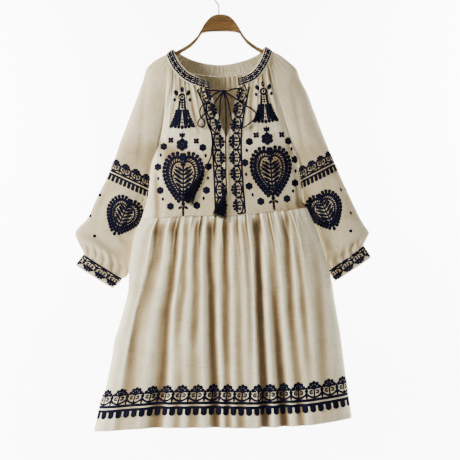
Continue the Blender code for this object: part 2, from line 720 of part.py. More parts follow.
def make_tassel(name, tail, foot, width, half_depth, collection):
    """A bulbous head whose threads fan out as one fluted skirt, flat against the dress."""
    above, end = place(*tail[-2]), place(*tail[-1])
    top = end + (end - above).normalized() * SEAM_GAP * MM
    length = (place(*foot) - top).length / MM
    rings = [(wide, wide * TASSEL_FLATNESS, TASSEL_HEAD_HEIGHT * share, 0) for share, wide in TASSEL_HEAD]
    rings.append((width / 2, half_depth, length, TASSEL_FLUTE))
    shape = bmesh.new()
    bmesh.ops.create_circle(shape, cap_ends=True, segments=TASSEL_SIDES, radius=1)
    tip = next(iter(shape.faces))
    wide, deep = 1, 1
    for i, (half_width, half_deep, drop, flute) in enumerate(rings):
        if i:
            tip = bmesh.ops.extrude_discrete_faces(shape, faces=[tip])["faces"][0]
        for k, vertex in enumerate(tip.verts):
            reach = 1 - flute * (k % 2)
            x = vertex.co.x * half_width / wide * reach
            y = vertex.co.y * half_deep / deep * reach
            vertex.co = Vector((x, y, -drop))
        wide, deep = half_width, half_deep
    bmesh.ops.holes_fill(shape, edges=[edge for edge in shape.edges if edge.is_boundary])
    bmesh.ops.triangulate(shape, faces=shape.faces)
    bmesh.ops.recalc_face_normals(shape, faces=shape.faces)
    mesh = bpy.data.meshes.new(name)
    shape.to_mesh(mesh)
    shape.free()
    tassel = finish_object(name, mesh, collection, CORD_NAVY)
    up = (top - place(*foot)).normalized()
    side = Vector((0, 1, 0)).cross(up).normalized()
    turn = Matrix((side, up.cross(side), up)).transposed().to_4x4()
    tassel.matrix_world = Matrix.Translation(top) @ turn @ Matrix.Scale(MM, 4)


def make_drawstring(collection):
    stretches = {
        "tie_left": (TIE_LEFT, LOOP_STEP),
        "tie_right": (TIE_RIGHT, LOOP_STEP),
        "bow_loop_left": (LOOP_LEFT, LOOP_STEP),
        "bow_loop_right": (LOOP_RIGHT, LOOP_STEP),
        "tail_left": (TAIL_LEFT, TAIL_STEP),
        "tail_right": (TAIL_RIGHT, TAIL_STEP),
    }
    for name, (route, step) in stretches.items():
        points = [place(*p) for p in route]
        length = sum((b - a).length for a, b in zip(points, points[1:])) / MM
        tube(name, spaced(points, round(length / step)), CORD, collection, CORD_NAVY)
    make_knot(collection)
    make_tassel("tassel_left", TAIL_LEFT, *TASSEL_LEFT, collection)
    make_tassel("tassel_right", TAIL_RIGHT, *TASSEL_RIGHT, collection)


def main():
    for old in list(bpy.data.objects):
        bpy.data.objects.remove(old)
    collection = bpy.data.collections.new("peasant_dress_on_hanger")
    bpy.context.scene.collection.children.link(collection)
    make_cloth(collection)
    make_hanger(collection)
    tube("hanger_hook", spaced(wire_route(), WIRE_PIECES), WIRE, collection, BLACK_WIRE)
    make_drawstring(collection)


main()
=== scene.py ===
"""The looks of the peasant dress on its hanger: cloth shells, embroidery, drawstring, tassels and wood.

Lengths are in millimetres until a mesh is made, unless a name ends in _M. Tables give x to the viewer's
right, drop below the hook's rest and y away from the viewer, as in the part's source.
"""

import math

import bpy
import numpy as np
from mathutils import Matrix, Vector
from mathutils.bvhtree import BVHTree

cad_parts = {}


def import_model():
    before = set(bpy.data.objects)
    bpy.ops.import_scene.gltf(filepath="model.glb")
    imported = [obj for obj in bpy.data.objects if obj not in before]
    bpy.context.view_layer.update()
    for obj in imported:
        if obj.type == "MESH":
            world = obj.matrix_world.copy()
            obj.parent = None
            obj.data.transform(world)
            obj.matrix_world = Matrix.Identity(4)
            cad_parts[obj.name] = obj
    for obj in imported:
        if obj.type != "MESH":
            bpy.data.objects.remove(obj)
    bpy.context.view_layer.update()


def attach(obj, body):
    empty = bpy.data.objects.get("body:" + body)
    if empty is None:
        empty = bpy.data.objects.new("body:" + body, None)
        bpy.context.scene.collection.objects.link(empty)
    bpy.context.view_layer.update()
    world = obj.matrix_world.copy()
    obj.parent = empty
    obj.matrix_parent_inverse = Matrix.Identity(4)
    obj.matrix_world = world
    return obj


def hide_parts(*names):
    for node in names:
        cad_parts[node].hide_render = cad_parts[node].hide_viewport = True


MM = 0.001
WALL = 1.2
BAND_WALL = 2.4

# The photograph: its scale, and where the hook's rest lies, just above its top
MM_PER_PIXEL = 2.5
REST_PIXEL_X = 219.5
REST_PIXEL_Y = -18.0
PICTURE_PIXELS = 460
CAMERA_DISTANCE_M = 3.0
SENSOR_MM = 36.0
# How far the dress's front lies before the hook's plane on average, where the scale holds
MEAN_FRONT_M = 0.025

# Stations round the neck from the slit's right edge: the seam's x, drop, y, then the band's inner edge
NECK = (
    (47, 261, -37, 45, 244, -33), (88, 248, -36, 79, 225, -31), (112, 222, -32, 96, 204, -26),
    (124, 199, -25, 106, 184, -20), (133, 170, 0, 114, 158, 0), (119, 196, 24, 98, 174, 18),
    (69, 221, 31, 59, 190, 25), (1, 229, 33, 1, 200, 28), (-66, 222, 31, -59, 191, 25),
    (-119, 201, 24, -99, 174, 18), (-133, 178, 0, -117, 165, 0), (-126, 205, -25, -106, 188, -20),
    (-112, 227, -32, -94, 208, -26), (-82, 252, -36, -71, 230, -31), (-24, 270, -37, -27, 251, -33),
)
RAGLAN_FRONT_RIGHT, SHOULDER_RIGHT, RAGLAN_BACK_RIGHT = 3, 4, 5
RAGLAN_BACK_LEFT, SHOULDER_LEFT, RAGLAN_FRONT_LEFT = 9, 10, 11
SLIT_LEFT_STATION = len(NECK) - 1

# Seams from the neckband down: x, drop, y
RAGLAN = {
    ("right", False): (
        (124, 199, -25), (135, 245, -30), (149, 295, -30), (163, 345, -26), (177, 388, -17),
        (190, 422, 0),
    ),
    ("right", True): (
        (119, 196, 24), (131, 245, 28), (146, 295, 28), (161, 345, 24), (176, 388, 15), (190, 422, 0),
    ),
    ("left", True): (
        (-119, 201, 24), (-127, 245, 28), (-133, 295, 28), (-141, 345, 24), (-150, 383, 15),
        (-158, 412, 0),
    ),
    ("left", False): (
        (-126, 205, -25), (-130, 245, -30), (-135, 295, -30), (-142, 345, -26), (-150, 383, -17),
        (-158, 412, 0),
    ),
}
SIDE = {
    "right": (
        (190, 422, 0), (196, 446, 0), (199, 470, 0), (203, 490, 0), (207, 518, 0), (210.5, 552, 0),
        (220, 564, 0),
    ),
    "left": (
        (-158, 412, 0), (-165, 432, 0), (-170, 452, 0), (-175, 490, 0), (-181, 535, 0), (-189, 565, 0),
        (-197, 592, 0),
    ),
}
SLIT = {
    "right": ((47, 261, -37), (38, 302, -40), (29, 348, -42), (18, 392, -43)),
    "left": ((-24, 270, -37), (-11, 307, -40), (5, 358, -42), (18, 392, -43)),
}
CENTRE_SEAM = ((18, 392, -43), (22, 450, -43), (24, 508, -41))
WAIST_CENTRE_X = 26

# The sleeve's outer fold over the hanger's arm, from the neck seam to the underarm's level
RIDGE = {
    "right": (
        (133, 170), (149, 177), (164, 187.5), (177, 198), (194, 215), (204, 242), (221, 275), (236, 315),
        (251, 355), (264, 388),
    ),
    "left": (
        (-133, 178), (-149, 185), (-166, 195), (-184, 213), (-192, 240), (-204, 275), (-219, 315),
        (-234, 355), (-251, 398),
    ),
}
# Sleeve sections from the underarm to the cuff's foot: inner x, drop, outer x, drop, middle y, half depth
SLEEVE = {
    "right": (
        (190, 422, 264, 388, 0, 17), (197, 452, 281, 428, 9, 17), (206, 525, 299, 468, 18, 18),
        (212, 558, 316, 505, 22, 19), (229, 590, 334, 542, 25, 20), (242, 622, 351, 578, 27, 21),
        (254, 655, 368, 608, 28, 22), (262, 684, 380, 626, 29, 22), (268, 706, 375, 640, 29, 21),
        (274, 719, 367, 652, 29, 18), (277, 722, 365, 660, 28, 15), (294, 750, 384, 690, 28, 14),
    ),
    "left": (
        (-158, 412, -251, 398, 0, 17), (-171, 452, -260, 422, 9, 17), (-179, 525, -281, 478, 18, 18),
        (-185, 558, -299, 515, 22, 19), (-194, 590, -316, 550, 25, 20), (-210, 625, -334, 586, 27, 21),
        (-216, 655, -357, 611, 28, 22), (-221, 687, -367, 630, 29, 22), (-226, 715, -358, 654, 29, 21),
        (-236, 737, -348, 672, 29, 18), (-248, 742, -344, 682, 28, 15), (-272, 768, -365, 710, 28, 14),
    ),
}
UNDERARM_HALF_DEPTH = 17
SLEEVE_HOLD = 2.4
SLEEVE_RELEASE = 0.55
SLEEVE_FULLNESS = 0.85

BODY_FULLNESS = 2.6
# Drops of the waist seam and the hem at even steps across the front, left to right
WAIST = (592, 587.5, 584.5, 582.5, 573.5, 564)
HEM = (1126, 1114, 1110, 1111, 1107, 1092)
BACK_HEM_LOWER = 9
WAIST_DEPTH = {False: 38, True: 30}
HEM_DEPTH = {False: 60, True: 52}
# The skirt's side seams: share of the way down, x
SKIRT_SIDE = {
    "left": (
        (0, -197), (0.04, -207), (0.06, -212), (0.15, -222), (0.24, -228), (0.34, -230), (0.42, -241),
        (0.49, -251), (0.57, -265), (0.68, -274), (0.79, -286), (0.87, -301), (1, -317),
    ),
    "right": (
        (0, 220), (0.04, 230), (0.09, 241), (0.13, 250), (0.18, 258), (0.26, 270), (0.35, 283),
        (0.44, 290), (0.59, 304), (0.74, 314), (0.89, 324), (1, 334),
    ),
}
FOLD_DROPS = (595, 682, 820, 1120)
# The front's folds: x at those four drops, then the valley's depth near the waist, midway and at the hem
FRONT_FOLDS = (
    (-178, -196, -221, -289, 5, 3, 1), (-155, -161, -204, -256, 13, 15, 8),
    (-106, -110, -129, -154, 12, 17, 17), (-79, -87, -104, -109, 7, 8, 6), (-51, -59, -61, -69, 7, 5, 6),
    (-20, -24, -18, -6, 12, 16, 15), (18, 14, 12, 22, 9, 10, 9), (38, 43, 46, 50, 6, 6, 6),
    (58, 72, 78, 83, 5, 3, 1), (91, 94, 98, 110, 14, 20, 19), (121, 127, 138, 162, 5, 15, 21),
    (168, 171, 177, 201, 9, 11, 8), (185, 194, 209, 236, 5, 6, 3), (201, 214, 232, 268, 5, 2, 2),
)
# The back's folds: share across at the waist and at the hem, then the three depths
BACK_FOLDS = (
    (0.05, 0.06, 6, 5, 3), (0.12, 0.14, 9, 11, 9), (0.20, 0.21, 7, 6, 5), (0.28, 0.29, 11, 14, 12),
    (0.37, 0.37, 6, 5, 4), (0.45, 0.46, 10, 12, 11), (0.55, 0.56, 12, 15, 14), (0.63, 0.64, 6, 4, 2),
    (0.71, 0.73, 9, 11, 10), (0.80, 0.81, 8, 8, 7), (0.88, 0.89, 10, 11, 9), (0.95, 0.95, 5, 5, 3),
)
FOLD_START = 2.0
# A fold's steep side and its gentle one, in shares of the way to the next valley
FOLD_STEEP = 1.7
FOLD_GENTLE = 1.05
FOLD_SHARPNESS = 1.15
FOLD_SIDE_FADE = 6.0

# The twisted cord as it is shown, its strands standing out past the solids' core
SHOWN_CORD = 4.0
# How far in front of the solids it lies, which clears the embroidery below it
CORD_LIFT = 1.6
# How far it runs on inside its tassel
TASSEL_CORE = 45
# The drawstring's stretches: x, drop, y
TIE_LEFT = (
    (-28.5, 273.5, -39.6), (-18.8, 273, -41), (-8.8, 273.2, -42), (1, 275, -41.6), (6.7, 276.3, -41),
)
TIE_RIGHT = (
    (54, 269, -39.6), (41, 268.5, -41.5), (31, 271, -42), (21, 273.5, -41.6), (15.2, 275.5, -41),
)
LOOP_LEFT = (
    (7.1, 277.2, -46.5), (1, 277, -47.3), (-8.8, 280, -46), (-19.5, 289.5, -44), (-33, 305, -44.3),
    (-42.5, 311.5, -44.8), (-48, 322, -45.3), (-48, 332.8, -45.2), (-45.2, 341, -45.6), (-38.5, 348, -46),
    (-35.8, 355.8, -46.2), (-38.5, 362.5, -46.2), (-44.5, 364.8, -46.3), (-51.5, 361.2, -46.8),
    (-53.5, 354.5, -47.5), (-49.5, 346.2, -48.8), (-44, 339.5, -49.3), (-36, 332, -48.6),
    (-29, 326, -47.2), (-16.7, 313.8, -44.5), (-8.8, 300.2, -43.5), (0, 287.5, -43.2), (7.2, 279.7, -43),
)
LOOP_RIGHT = (
    (15.4, 278.8, -43.5), (29.2, 286.8, -43), (51, 301.5, -43.6), (65.8, 311.5, -44.5),
    (79.2, 319.5, -45), (88.8, 328.8, -45.8), (91, 338.5, -45.8), (86.2, 346.2, -46.3),
    (72.5, 357.2, -46), (61.7, 365, -46), (51, 366, -45.6), (41.5, 361.2, -45.2), (33.3, 351.8, -44.8),
    (29.2, 341, -45), (25.8, 324.8, -46), (21, 300.2, -47), (16.5, 288, -47.5), (12.5, 280.2, -46.5),
)
TAIL_LEFT = (
    (9.6, 280.2, -46.4), (5.5, 287, -47.6), (2.6, 297, -47.2), (1.5, 308.5, -46.6), (0.8, 330, -46),
    (-2, 347.8, -45.8), (-10, 377.5, -46.2), (-18.3, 411.8, -45.6), (-20.8, 437.2, -44.4),
    (-30.5, 458, -42.2), (-40, 472, -41.4),
)
TAIL_RIGHT = (
    (11.1, 280.6, -40.8), (13.5, 290, -41.6), (15.8, 313.8, -43), (16.2, 340, -44), (16.2, 361.2, -44.8),
    (15.8, 392, -45.8), (15.8, 419.5, -45.6), (16.2, 450, -44.9), (16.2, 485, -44.3), (16.2, 521, -44.2),
)
# The foot of each tassel's middle, and its spread there
TASSELS = {"left": (TAIL_LEFT, (-83, 553, -42), 35), "right": (TAIL_RIGHT, (-1, 590, -45.6), 40)}


def place(rows):
    """Table rows of x, drop, y as an array of x, y, z in millimetres."""
    rows = np.atleast_2d(np.asarray(rows, float))
    return np.stack([rows[:, 0], rows[:, 2], -rows[:, 1]], axis=1)


def pixel(x, y):
    """A pixel of the photograph as x and z in millimetres."""
    return (x - REST_PIXEL_X) * MM_PER_PIXEL, -(y - REST_PIXEL_Y) * MM_PER_PIXEL


def pixels(*points):
    """Pixels of the photograph as rows of x and z in millimetres."""
    return np.array([pixel(x, y) for x, y in points])


def smooth(points, t):
    """Points at each t, from 0 to 1, on a smooth curve through the points."""
    points = np.asarray(points, float)
    ends = np.vstack([2 * points[0] - points[1], points, 2 * points[-1] - points[-2]])
    span = np.clip(t, 0, 1) * (len(points) - 1)
    i = np.minimum(span.astype(int), len(points) - 2)
    f = (span - i)[:, None]
    a, b, c, d = ends[i], ends[i + 1], ends[i + 2], ends[i + 3]
    return (2 * b + (c - a) * f + (2 * a - 5 * b + 4 * c - d) * f**2 + (3 * b - a - 3 * c + d) * f**3) / 2


def run_of(line):
    """The length along a line at each of its points."""
    return np.concatenate([[0], np.cumsum(np.linalg.norm(np.diff(line, axis=0), axis=1))])


def along(line, run, want):
    """Points of a line at the lengths that are wanted, from the lengths at its own points."""
    return np.stack([np.interp(want, run, line[:, k]) for k in range(line.shape[1])], axis=1)


def evenly(points, count):
    """count + 1 points at even lengths along the smooth curve through the points."""
    fine = smooth(points, np.linspace(0, 1, 12 * len(points) + 1))
    run = run_of(fine)
    return along(fine, run, np.linspace(0, run[-1], count + 1))


def neck_edge(start, end, count, edge=0):
    """Points along the neck seam (edge 0) or the band's inner edge (edge 1) between two stations."""
    stations = place([row[3 * edge : 3 * edge + 3] for row in NECK])
    fine = smooth(stations, np.linspace(start, end, 97) / (len(NECK) - 1))
    run = run_of(fine)
    return along(fine, run, np.linspace(0, run[-1], count + 1))


def patch(top, bottom, left, right):
    """A grid of points that fills the patch between four edges (a Coons patch)."""
    u = np.linspace(0, 1, len(top))[None, :, None]
    v = np.linspace(0, 1, len(left))[:, None, None]
    across = left[:, None] * (1 - u) + right[:, None] * u
    down = top[None] * (1 - v) + bottom[None] * v
    corners = (top[0] * (1 - u) + top[-1] * u) * (1 - v) + (bottom[0] * (1 - u) + bottom[-1] * u) * v
    return across + down - corners


def normals_of(grid):
    """The outward normal at each point of a grid whose columns run so that the outside faces out."""
    across = np.gradient(grid, axis=1)
    down = np.gradient(grid, axis=0)
    normal = np.cross(down, across)
    return normal / np.maximum(np.linalg.norm(normal, axis=2, keepdims=True), 1e-9)


RIPPLE_WEIGHTS = (1.0, 0.7, 0.5, 0.35)


def ripple(x, seed):
    """A wandering wave between about -1 and 1, never quite repeating."""
    total = np.zeros_like(x)
    for k, weight in enumerate(RIPPLE_WEIGHTS):
        wander = 1.3 * np.sin(0.31 * x + seed + k)
        total += weight * np.sin(x * (1 + 0.63 * k) + 2.4 * seed * (k + 1) + wander)
    return total / 2.1


def pleats(run, pitch, seed):
    """Ripples about a pitch apart along a run."""
    return ripple(run[None] / pitch * 2 * np.pi / 1.3, seed)


def waves(across, down, spec, seed=0.0):
    """Slanting ripples. spec gives how many across, how many down, and their own seed."""
    return ripple(across * spec[0] + down * spec[1], spec[2] + seed)


def settle(low, high, value):
    """0 below low, 1 above high, smoothly between."""
    f = np.clip((value - low) / (high - low), 0, 1)
    return f * f * (3 - 2 * f)


def blurred(grid, reach):
    """The grid averaged over reach cells each way."""
    for axis in (0, 1):
        pads = [(0, 0)] * 3
        pads[axis] = (reach + 1, reach)
        total = np.cumsum(np.pad(grid, pads, mode="edge"), axis=axis)
        size = grid.shape[axis]
        window = 2 * reach + 1
        high = np.take(total, range(window, window + size), axis=axis)
        low = np.take(total, range(size), axis=axis)
        grid = (high - low) / window
    return grid


# Cloth forms: cells to a row or column of the net, the net's rows and columns, and the skirt's cells
CELL = 8
YOKE_ROWS, BODY_ROWS, SLIT_ROWS = 7, 4, 4
FRONT_COLUMNS, SLEEVE_HALF_COLUMNS, BACK_COLUMNS = 14, 9, 20
SKIRT_GRID = {False: (120, 330), True: (80, 220)}
NECK_GATHER = 2.6
NECK_GATHER_PITCH = 10.5
# Small gathers along an edge: waves, height and how far they reach
WAIST_GATHERS = (60, 0.7, 0.04)
CUFF_PUCKERS = (120, 2.0, 0.055)
SLEEVE_HEAD_GATHERS = (75, 1.1, 0.06)
BODICE_SEEDS = {"right": 1.7, "left": 3.1, "back": 5.3}
SLEEVE_SEEDS = {"right": 6.1, "left": 7.7}
CUFF_ROWS, BAND_ROWS = 24, 12
# Slanting ripples, as waves across, waves down and seed, then their heights in millimetres
SKIRT_FINE, SKIRT_BROAD, SKIRT_CREASES = (150, 4, 1.0), (34, 3, 2.0), ((5, 26, 3.0), (21, 2, 4.0))
SKIRT_FINE_FADES, BROAD_HEIGHT, SKIRT_CREASE_HEIGHT = ((3.4, 0.09), (0.6, 0.3)), 1.1, 0.45
SLEEVE_CREASES, SLEEVE_CREASE_HEIGHT = ((17, 6, 2), (3, 13, 3)), 2.2
BAND_FOLD_PITCH, BAND_SEED = 6.5, 9.0


def gathered(place, gathers, seed, far):
    """Ripples along an edge that die out away from it."""
    waves, height, reach = gathers
    return ripple(place * waves, seed) * height * np.exp(-far / reach)


def skirt_sides(v):
    """x of the left and right side seam at shares of the way down."""
    return [np.interp(v, *np.array(SKIRT_SIDE[side]).T) for side in ("left", "right")]


def skirt_plain(v, across, back):
    """Points of the skirt's plain form for arrays of shares down and across."""
    drop = smooth(np.array(WAIST)[:, None], across.ravel())[:, 0].reshape(across.shape) * (1 - v)
    drop += smooth(np.array(HEM)[:, None], across.ravel())[:, 0].reshape(across.shape) * v
    ease = np.sin(np.pi * np.minimum(np.minimum(1, across * 2), 2 - across * 2) / 2)
    left, right = skirt_sides(v)
    x = left + (right - left) * across
    depth = WAIST_DEPTH[back] + (HEM_DEPTH[back] - WAIST_DEPTH[back]) * np.sqrt(v)
    round_off = np.sqrt(np.maximum(0, 1 - np.abs(2 * across - 1) ** BODY_FULLNESS))
    if back:
        drop = drop + BACK_HEM_LOWER * v * ease
    return np.stack([x, depth * round_off * (1 if back else -1), -drop], axis=-1)


def fold_side(f, wide):
    """How deep one side of a fold lies at a share f of the way to the next valley."""
    return (0.5 + 0.5 * np.cos(np.pi * np.minimum(1, f * wide))) ** FOLD_SHARPNESS


def skirt_grid(back):
    """A skirt panel with its folds, its gathers below the waist and its soft creases."""
    rows, columns = SKIRT_GRID[back]
    across, v = np.meshgrid(np.linspace(0, 1, columns + 1), np.linspace(0, 1, rows + 1))
    grid = skirt_plain(v, across, back)
    left, right = skirt_sides(v[:, 0])
    places, depths = [np.zeros(rows + 1)], [np.zeros(rows + 1)]
    for fold in BACK_FOLDS if back else FRONT_FOLDS:
        if back:
            places.append(fold[0] + (fold[1] - fold[0]) * v[:, 0])
        else:
            drop = WAIST[2] + (HEM[2] - WAIST[2]) * v[:, 0]
            places.append((np.interp(drop, FOLD_DROPS, fold[:4]) - left) / (right - left))
        depths.append(np.interp(v[:, 0], (0, 0.06, 0.45, 1), (FOLD_START, *fold[-3:])))
    places.append(np.ones(rows + 1))
    depths.append(np.zeros(rows + 1))
    places, depths = np.array(places), np.array(depths)
    inward = np.zeros_like(across)
    for a, b, deep_a, deep_b in zip(places, places[1:], depths, depths[1:]):
        f = (across - a[:, None]) / (b - a)[:, None]
        inside = (f >= 0) & (f <= 1)
        f = np.clip(f, 0, 1)
        depth = deep_a[:, None] * fold_side(f, FOLD_GENTLE)
        depth += deep_b[:, None] * fold_side(1 - f, FOLD_STEEP)
        inward = np.where(inside, depth, inward)
    edge = np.minimum(1, FOLD_SIDE_FADE * np.minimum(across, 1 - across))
    fades = [height * np.exp(-v / reach) for height, reach in SKIRT_FINE_FADES]
    fine = waves(across, v, SKIRT_FINE, back) * (fades[0] + fades[1])
    broad = waves(across, v, SKIRT_BROAD, back) * BROAD_HEIGHT * settle(0.02, 0.3, v)
    crease = waves(across, v, SKIRT_CREASES[0]) * waves(across, v, SKIRT_CREASES[1])
    crease *= SKIRT_CREASE_HEIGHT * settle(0.1, 0.4, v)
    grid[..., 1] += (inward + fine + broad + crease) * edge * (-1 if back else 1)
    return grid[:, ::-1] if back else grid


def down_side(side, back):
    """A bodice panel's side edge: the raglan seam, then the side seam."""
    upper = evenly(place(RAGLAN[side, back]), YOKE_ROWS * CELL)
    return np.vstack([upper, evenly(place(SIDE[side]), BODY_ROWS * CELL)[1:]])


def waist_edge(start, end, count, back):
    """count + 1 points along the waist seam between two shares of the way across."""
    across = np.linspace(start, end, count + 1)
    return skirt_plain(np.zeros(count + 1), across, back)


def eased(grid, reach):
    """The grid smoothed inside, with its edges kept."""
    rows, columns = grid.shape[:2]
    r = np.minimum(np.arange(rows), np.arange(rows)[::-1])[:, None]
    c = np.minimum(np.arange(columns), np.arange(columns)[::-1])[None]
    inside = settle(0, 1.6 * reach, np.minimum(r, c).astype(float))[..., None]
    return grid * (1 - inside) + blurred(blurred(grid, reach), reach) * inside


def neck_gathers(grid, seed):
    """Uneven gathers that fan out below the neck seam, strongest near the shoulders."""
    grid = eased(grid, 6)
    run = run_of(grid[0])
    v = np.linspace(0, 1, len(grid))[:, None]
    wave = pleats(run, NECK_GATHER_PITCH, seed)
    reach = 0.10 + 0.20 * (0.5 + 0.5 * ripple(run[None] / 17, seed + 2))
    grid[..., 1] += wave * NECK_GATHER * np.exp(-v / reach) * np.sign(grid[..., 1].mean())
    grid[..., 1] += gathered(run[None] / run[-1], WAIST_GATHERS, seed + 5, 1 - v)
    return grid


def front_grid(side):
    """A front panel, between the slit with its seam below and the sleeve with the side seam below."""
    left, right = SKIRT_SIDE["left"][0][1], SKIRT_SIDE["right"][0][1]
    middle = (WAIST_CENTRE_X - left) / (right - left)
    foot = waist_edge(middle, middle, 1, False)[:1]
    slit = evenly(place(SLIT[side]), SLIT_ROWS * CELL)
    seam = evenly(np.vstack([place(CENTRE_SEAM), foot]), (YOKE_ROWS + BODY_ROWS - SLIT_ROWS) * CELL)
    edges = [np.vstack([slit, seam[1:]]), down_side(side, False)]
    stations, shares = (0, RAGLAN_FRONT_RIGHT), (middle, 1)
    if side == "left":
        stations, shares = (RAGLAN_FRONT_LEFT, SLIT_LEFT_STATION), (0, middle)
        edges.reverse()
    columns = FRONT_COLUMNS * CELL
    grid = patch(neck_edge(*stations, columns), waist_edge(*shares, columns, False), *edges)
    return neck_gathers(grid, BODICE_SEEDS[side])


def back_grid():
    """The back panel."""
    columns = BACK_COLUMNS * CELL
    top = neck_edge(RAGLAN_BACK_RIGHT, RAGLAN_BACK_LEFT, columns)
    bottom = waist_edge(1, 0, columns, True)
    grid = patch(top, bottom, down_side("right", True), down_side("left", True))
    return neck_gathers(grid, BODICE_SEEDS["back"])


def sleeve_sections(inner, outer, inner_y, outer_y, depth, facing):
    """Rows across half a sleeve: from its inner edge to its outer fold."""
    u = np.linspace(0, 1, SLEEVE_HALF_COLUMNS * CELL + 1)
    s = (1 - np.cos(np.pi * u)) / 2
    flat = inner[:, None] * (1 - s)[None, :, None] + outer[:, None] * s[None, :, None]
    hold = (1 - s**SLEEVE_HOLD) ** SLEEVE_RELEASE
    level = outer_y[:, None] + (inner_y - outer_y)[:, None] * hold[None]
    y = level + facing * depth[:, None] * (np.sin(np.pi * u) ** SLEEVE_FULLNESS)[None]
    return np.stack([flat[..., 0], y, flat[..., 1]], axis=-1)


def table_sections(table, facing):
    """Half sections from table rows: inner x and drop, outer x and drop, middle y, half depth."""
    inner, outer = table[:, 0:2] * (1, -1), table[:, 2:4] * (1, -1)
    return sleeve_sections(inner, outer, table[:, 4], table[:, 4], table[:, 5], facing)


def whole_round(side, front, back):
    """Both halves of a sleeve or cuff as one grid, its columns running round as the body's do."""
    first, second = (front, back) if side == "right" else (back, front)
    return np.concatenate([first, second[:, -2::-1]], axis=1)


def sleeve_half(side, back):
    """Half of a sleeve from the neck to the cuff: the yoke down to the underarm, then the tube."""
    facing = 1 if back else -1
    count = YOKE_ROWS * CELL
    seam = evenly(place(RAGLAN[side, back]), count)
    ridge = evenly(place([(x, drop, 0) for x, drop in RIDGE[side]]), count)
    v = np.linspace(0, 1, count + 1)
    depth = UNDERARM_HALF_DEPTH * v**1.5
    yoke = sleeve_sections(seam[:, (0, 2)], ridge[:, (0, 2)], seam[:, 1], ridge[:, 1], depth, facing)
    stations = {
        ("right", False): (RAGLAN_FRONT_RIGHT, SHOULDER_RIGHT),
        ("right", True): (RAGLAN_BACK_RIGHT, SHOULDER_RIGHT),
        ("left", False): (RAGLAN_FRONT_LEFT, SHOULDER_LEFT),
        ("left", True): (RAGLAN_BACK_LEFT, SHOULDER_LEFT),
    }[side, back]
    top = neck_edge(*stations, SLEEVE_HALF_COLUMNS * CELL)
    yoke += (top - yoke[0])[None] * ((1 - v) ** 2)[:, None, None]
    table = np.array(SLEEVE[side], float)
    steps = (len(table) - 2) * CELL
    fine = smooth(table[:-1], np.linspace(0, 1, steps + 1))[1:]
    return np.vstack([yoke, table_sections(fine, facing)])


def sleeve_grid(side):
    """The whole sleeve, with its puckers, its gathered head and its soft creases."""
    grid = whole_round(side, sleeve_half(side, False), sleeve_half(side, True))
    rows, columns = grid.shape[:2]
    v = np.linspace(0, 1, rows)[:, None]
    turn = np.linspace(0, 1, columns)[None]
    seed = SLEEVE_SEEDS[side]
    puckers = gathered(turn, CUFF_PUCKERS, seed, 1 - v) * settle(0, 0.012, 1 - v)
    head = gathered(turn, SLEEVE_HEAD_GATHERS, seed + 1, v)
    body = waves(turn, v, SLEEVE_CREASES[0], seed) * waves(turn, v, SLEEVE_CREASES[1], seed)
    body *= SLEEVE_CREASE_HEIGHT
    body *= settle(0.3, 0.6, v) * settle(0, 0.05, 1 - v)
    return grid + normals_of(grid) * (puckers + head + body)[..., None]


def band_grid(runs, ruffle):
    """The neckband above a run of neck seams, rounded like the channel that it is."""
    inner, seam = (
        np.vstack([neck_edge(*run, edge)[i > 0 :] for i, run in enumerate(runs)]) for edge in (1, 0)
    )
    share = np.linspace(0, 1, BAND_ROWS + 1)[:, None, None]
    grid = inner[None] * (1 - share) + seam[None] * share
    swell = np.sin(np.pi * share[..., 0])
    bulge = 0.6 + 1.3 * swell**0.7
    folds = pleats(run_of(seam), BAND_FOLD_PITCH, BAND_SEED + ruffle) * ruffle * swell**0.5
    return grid + normals_of(grid) * (bulge + folds)[..., None]


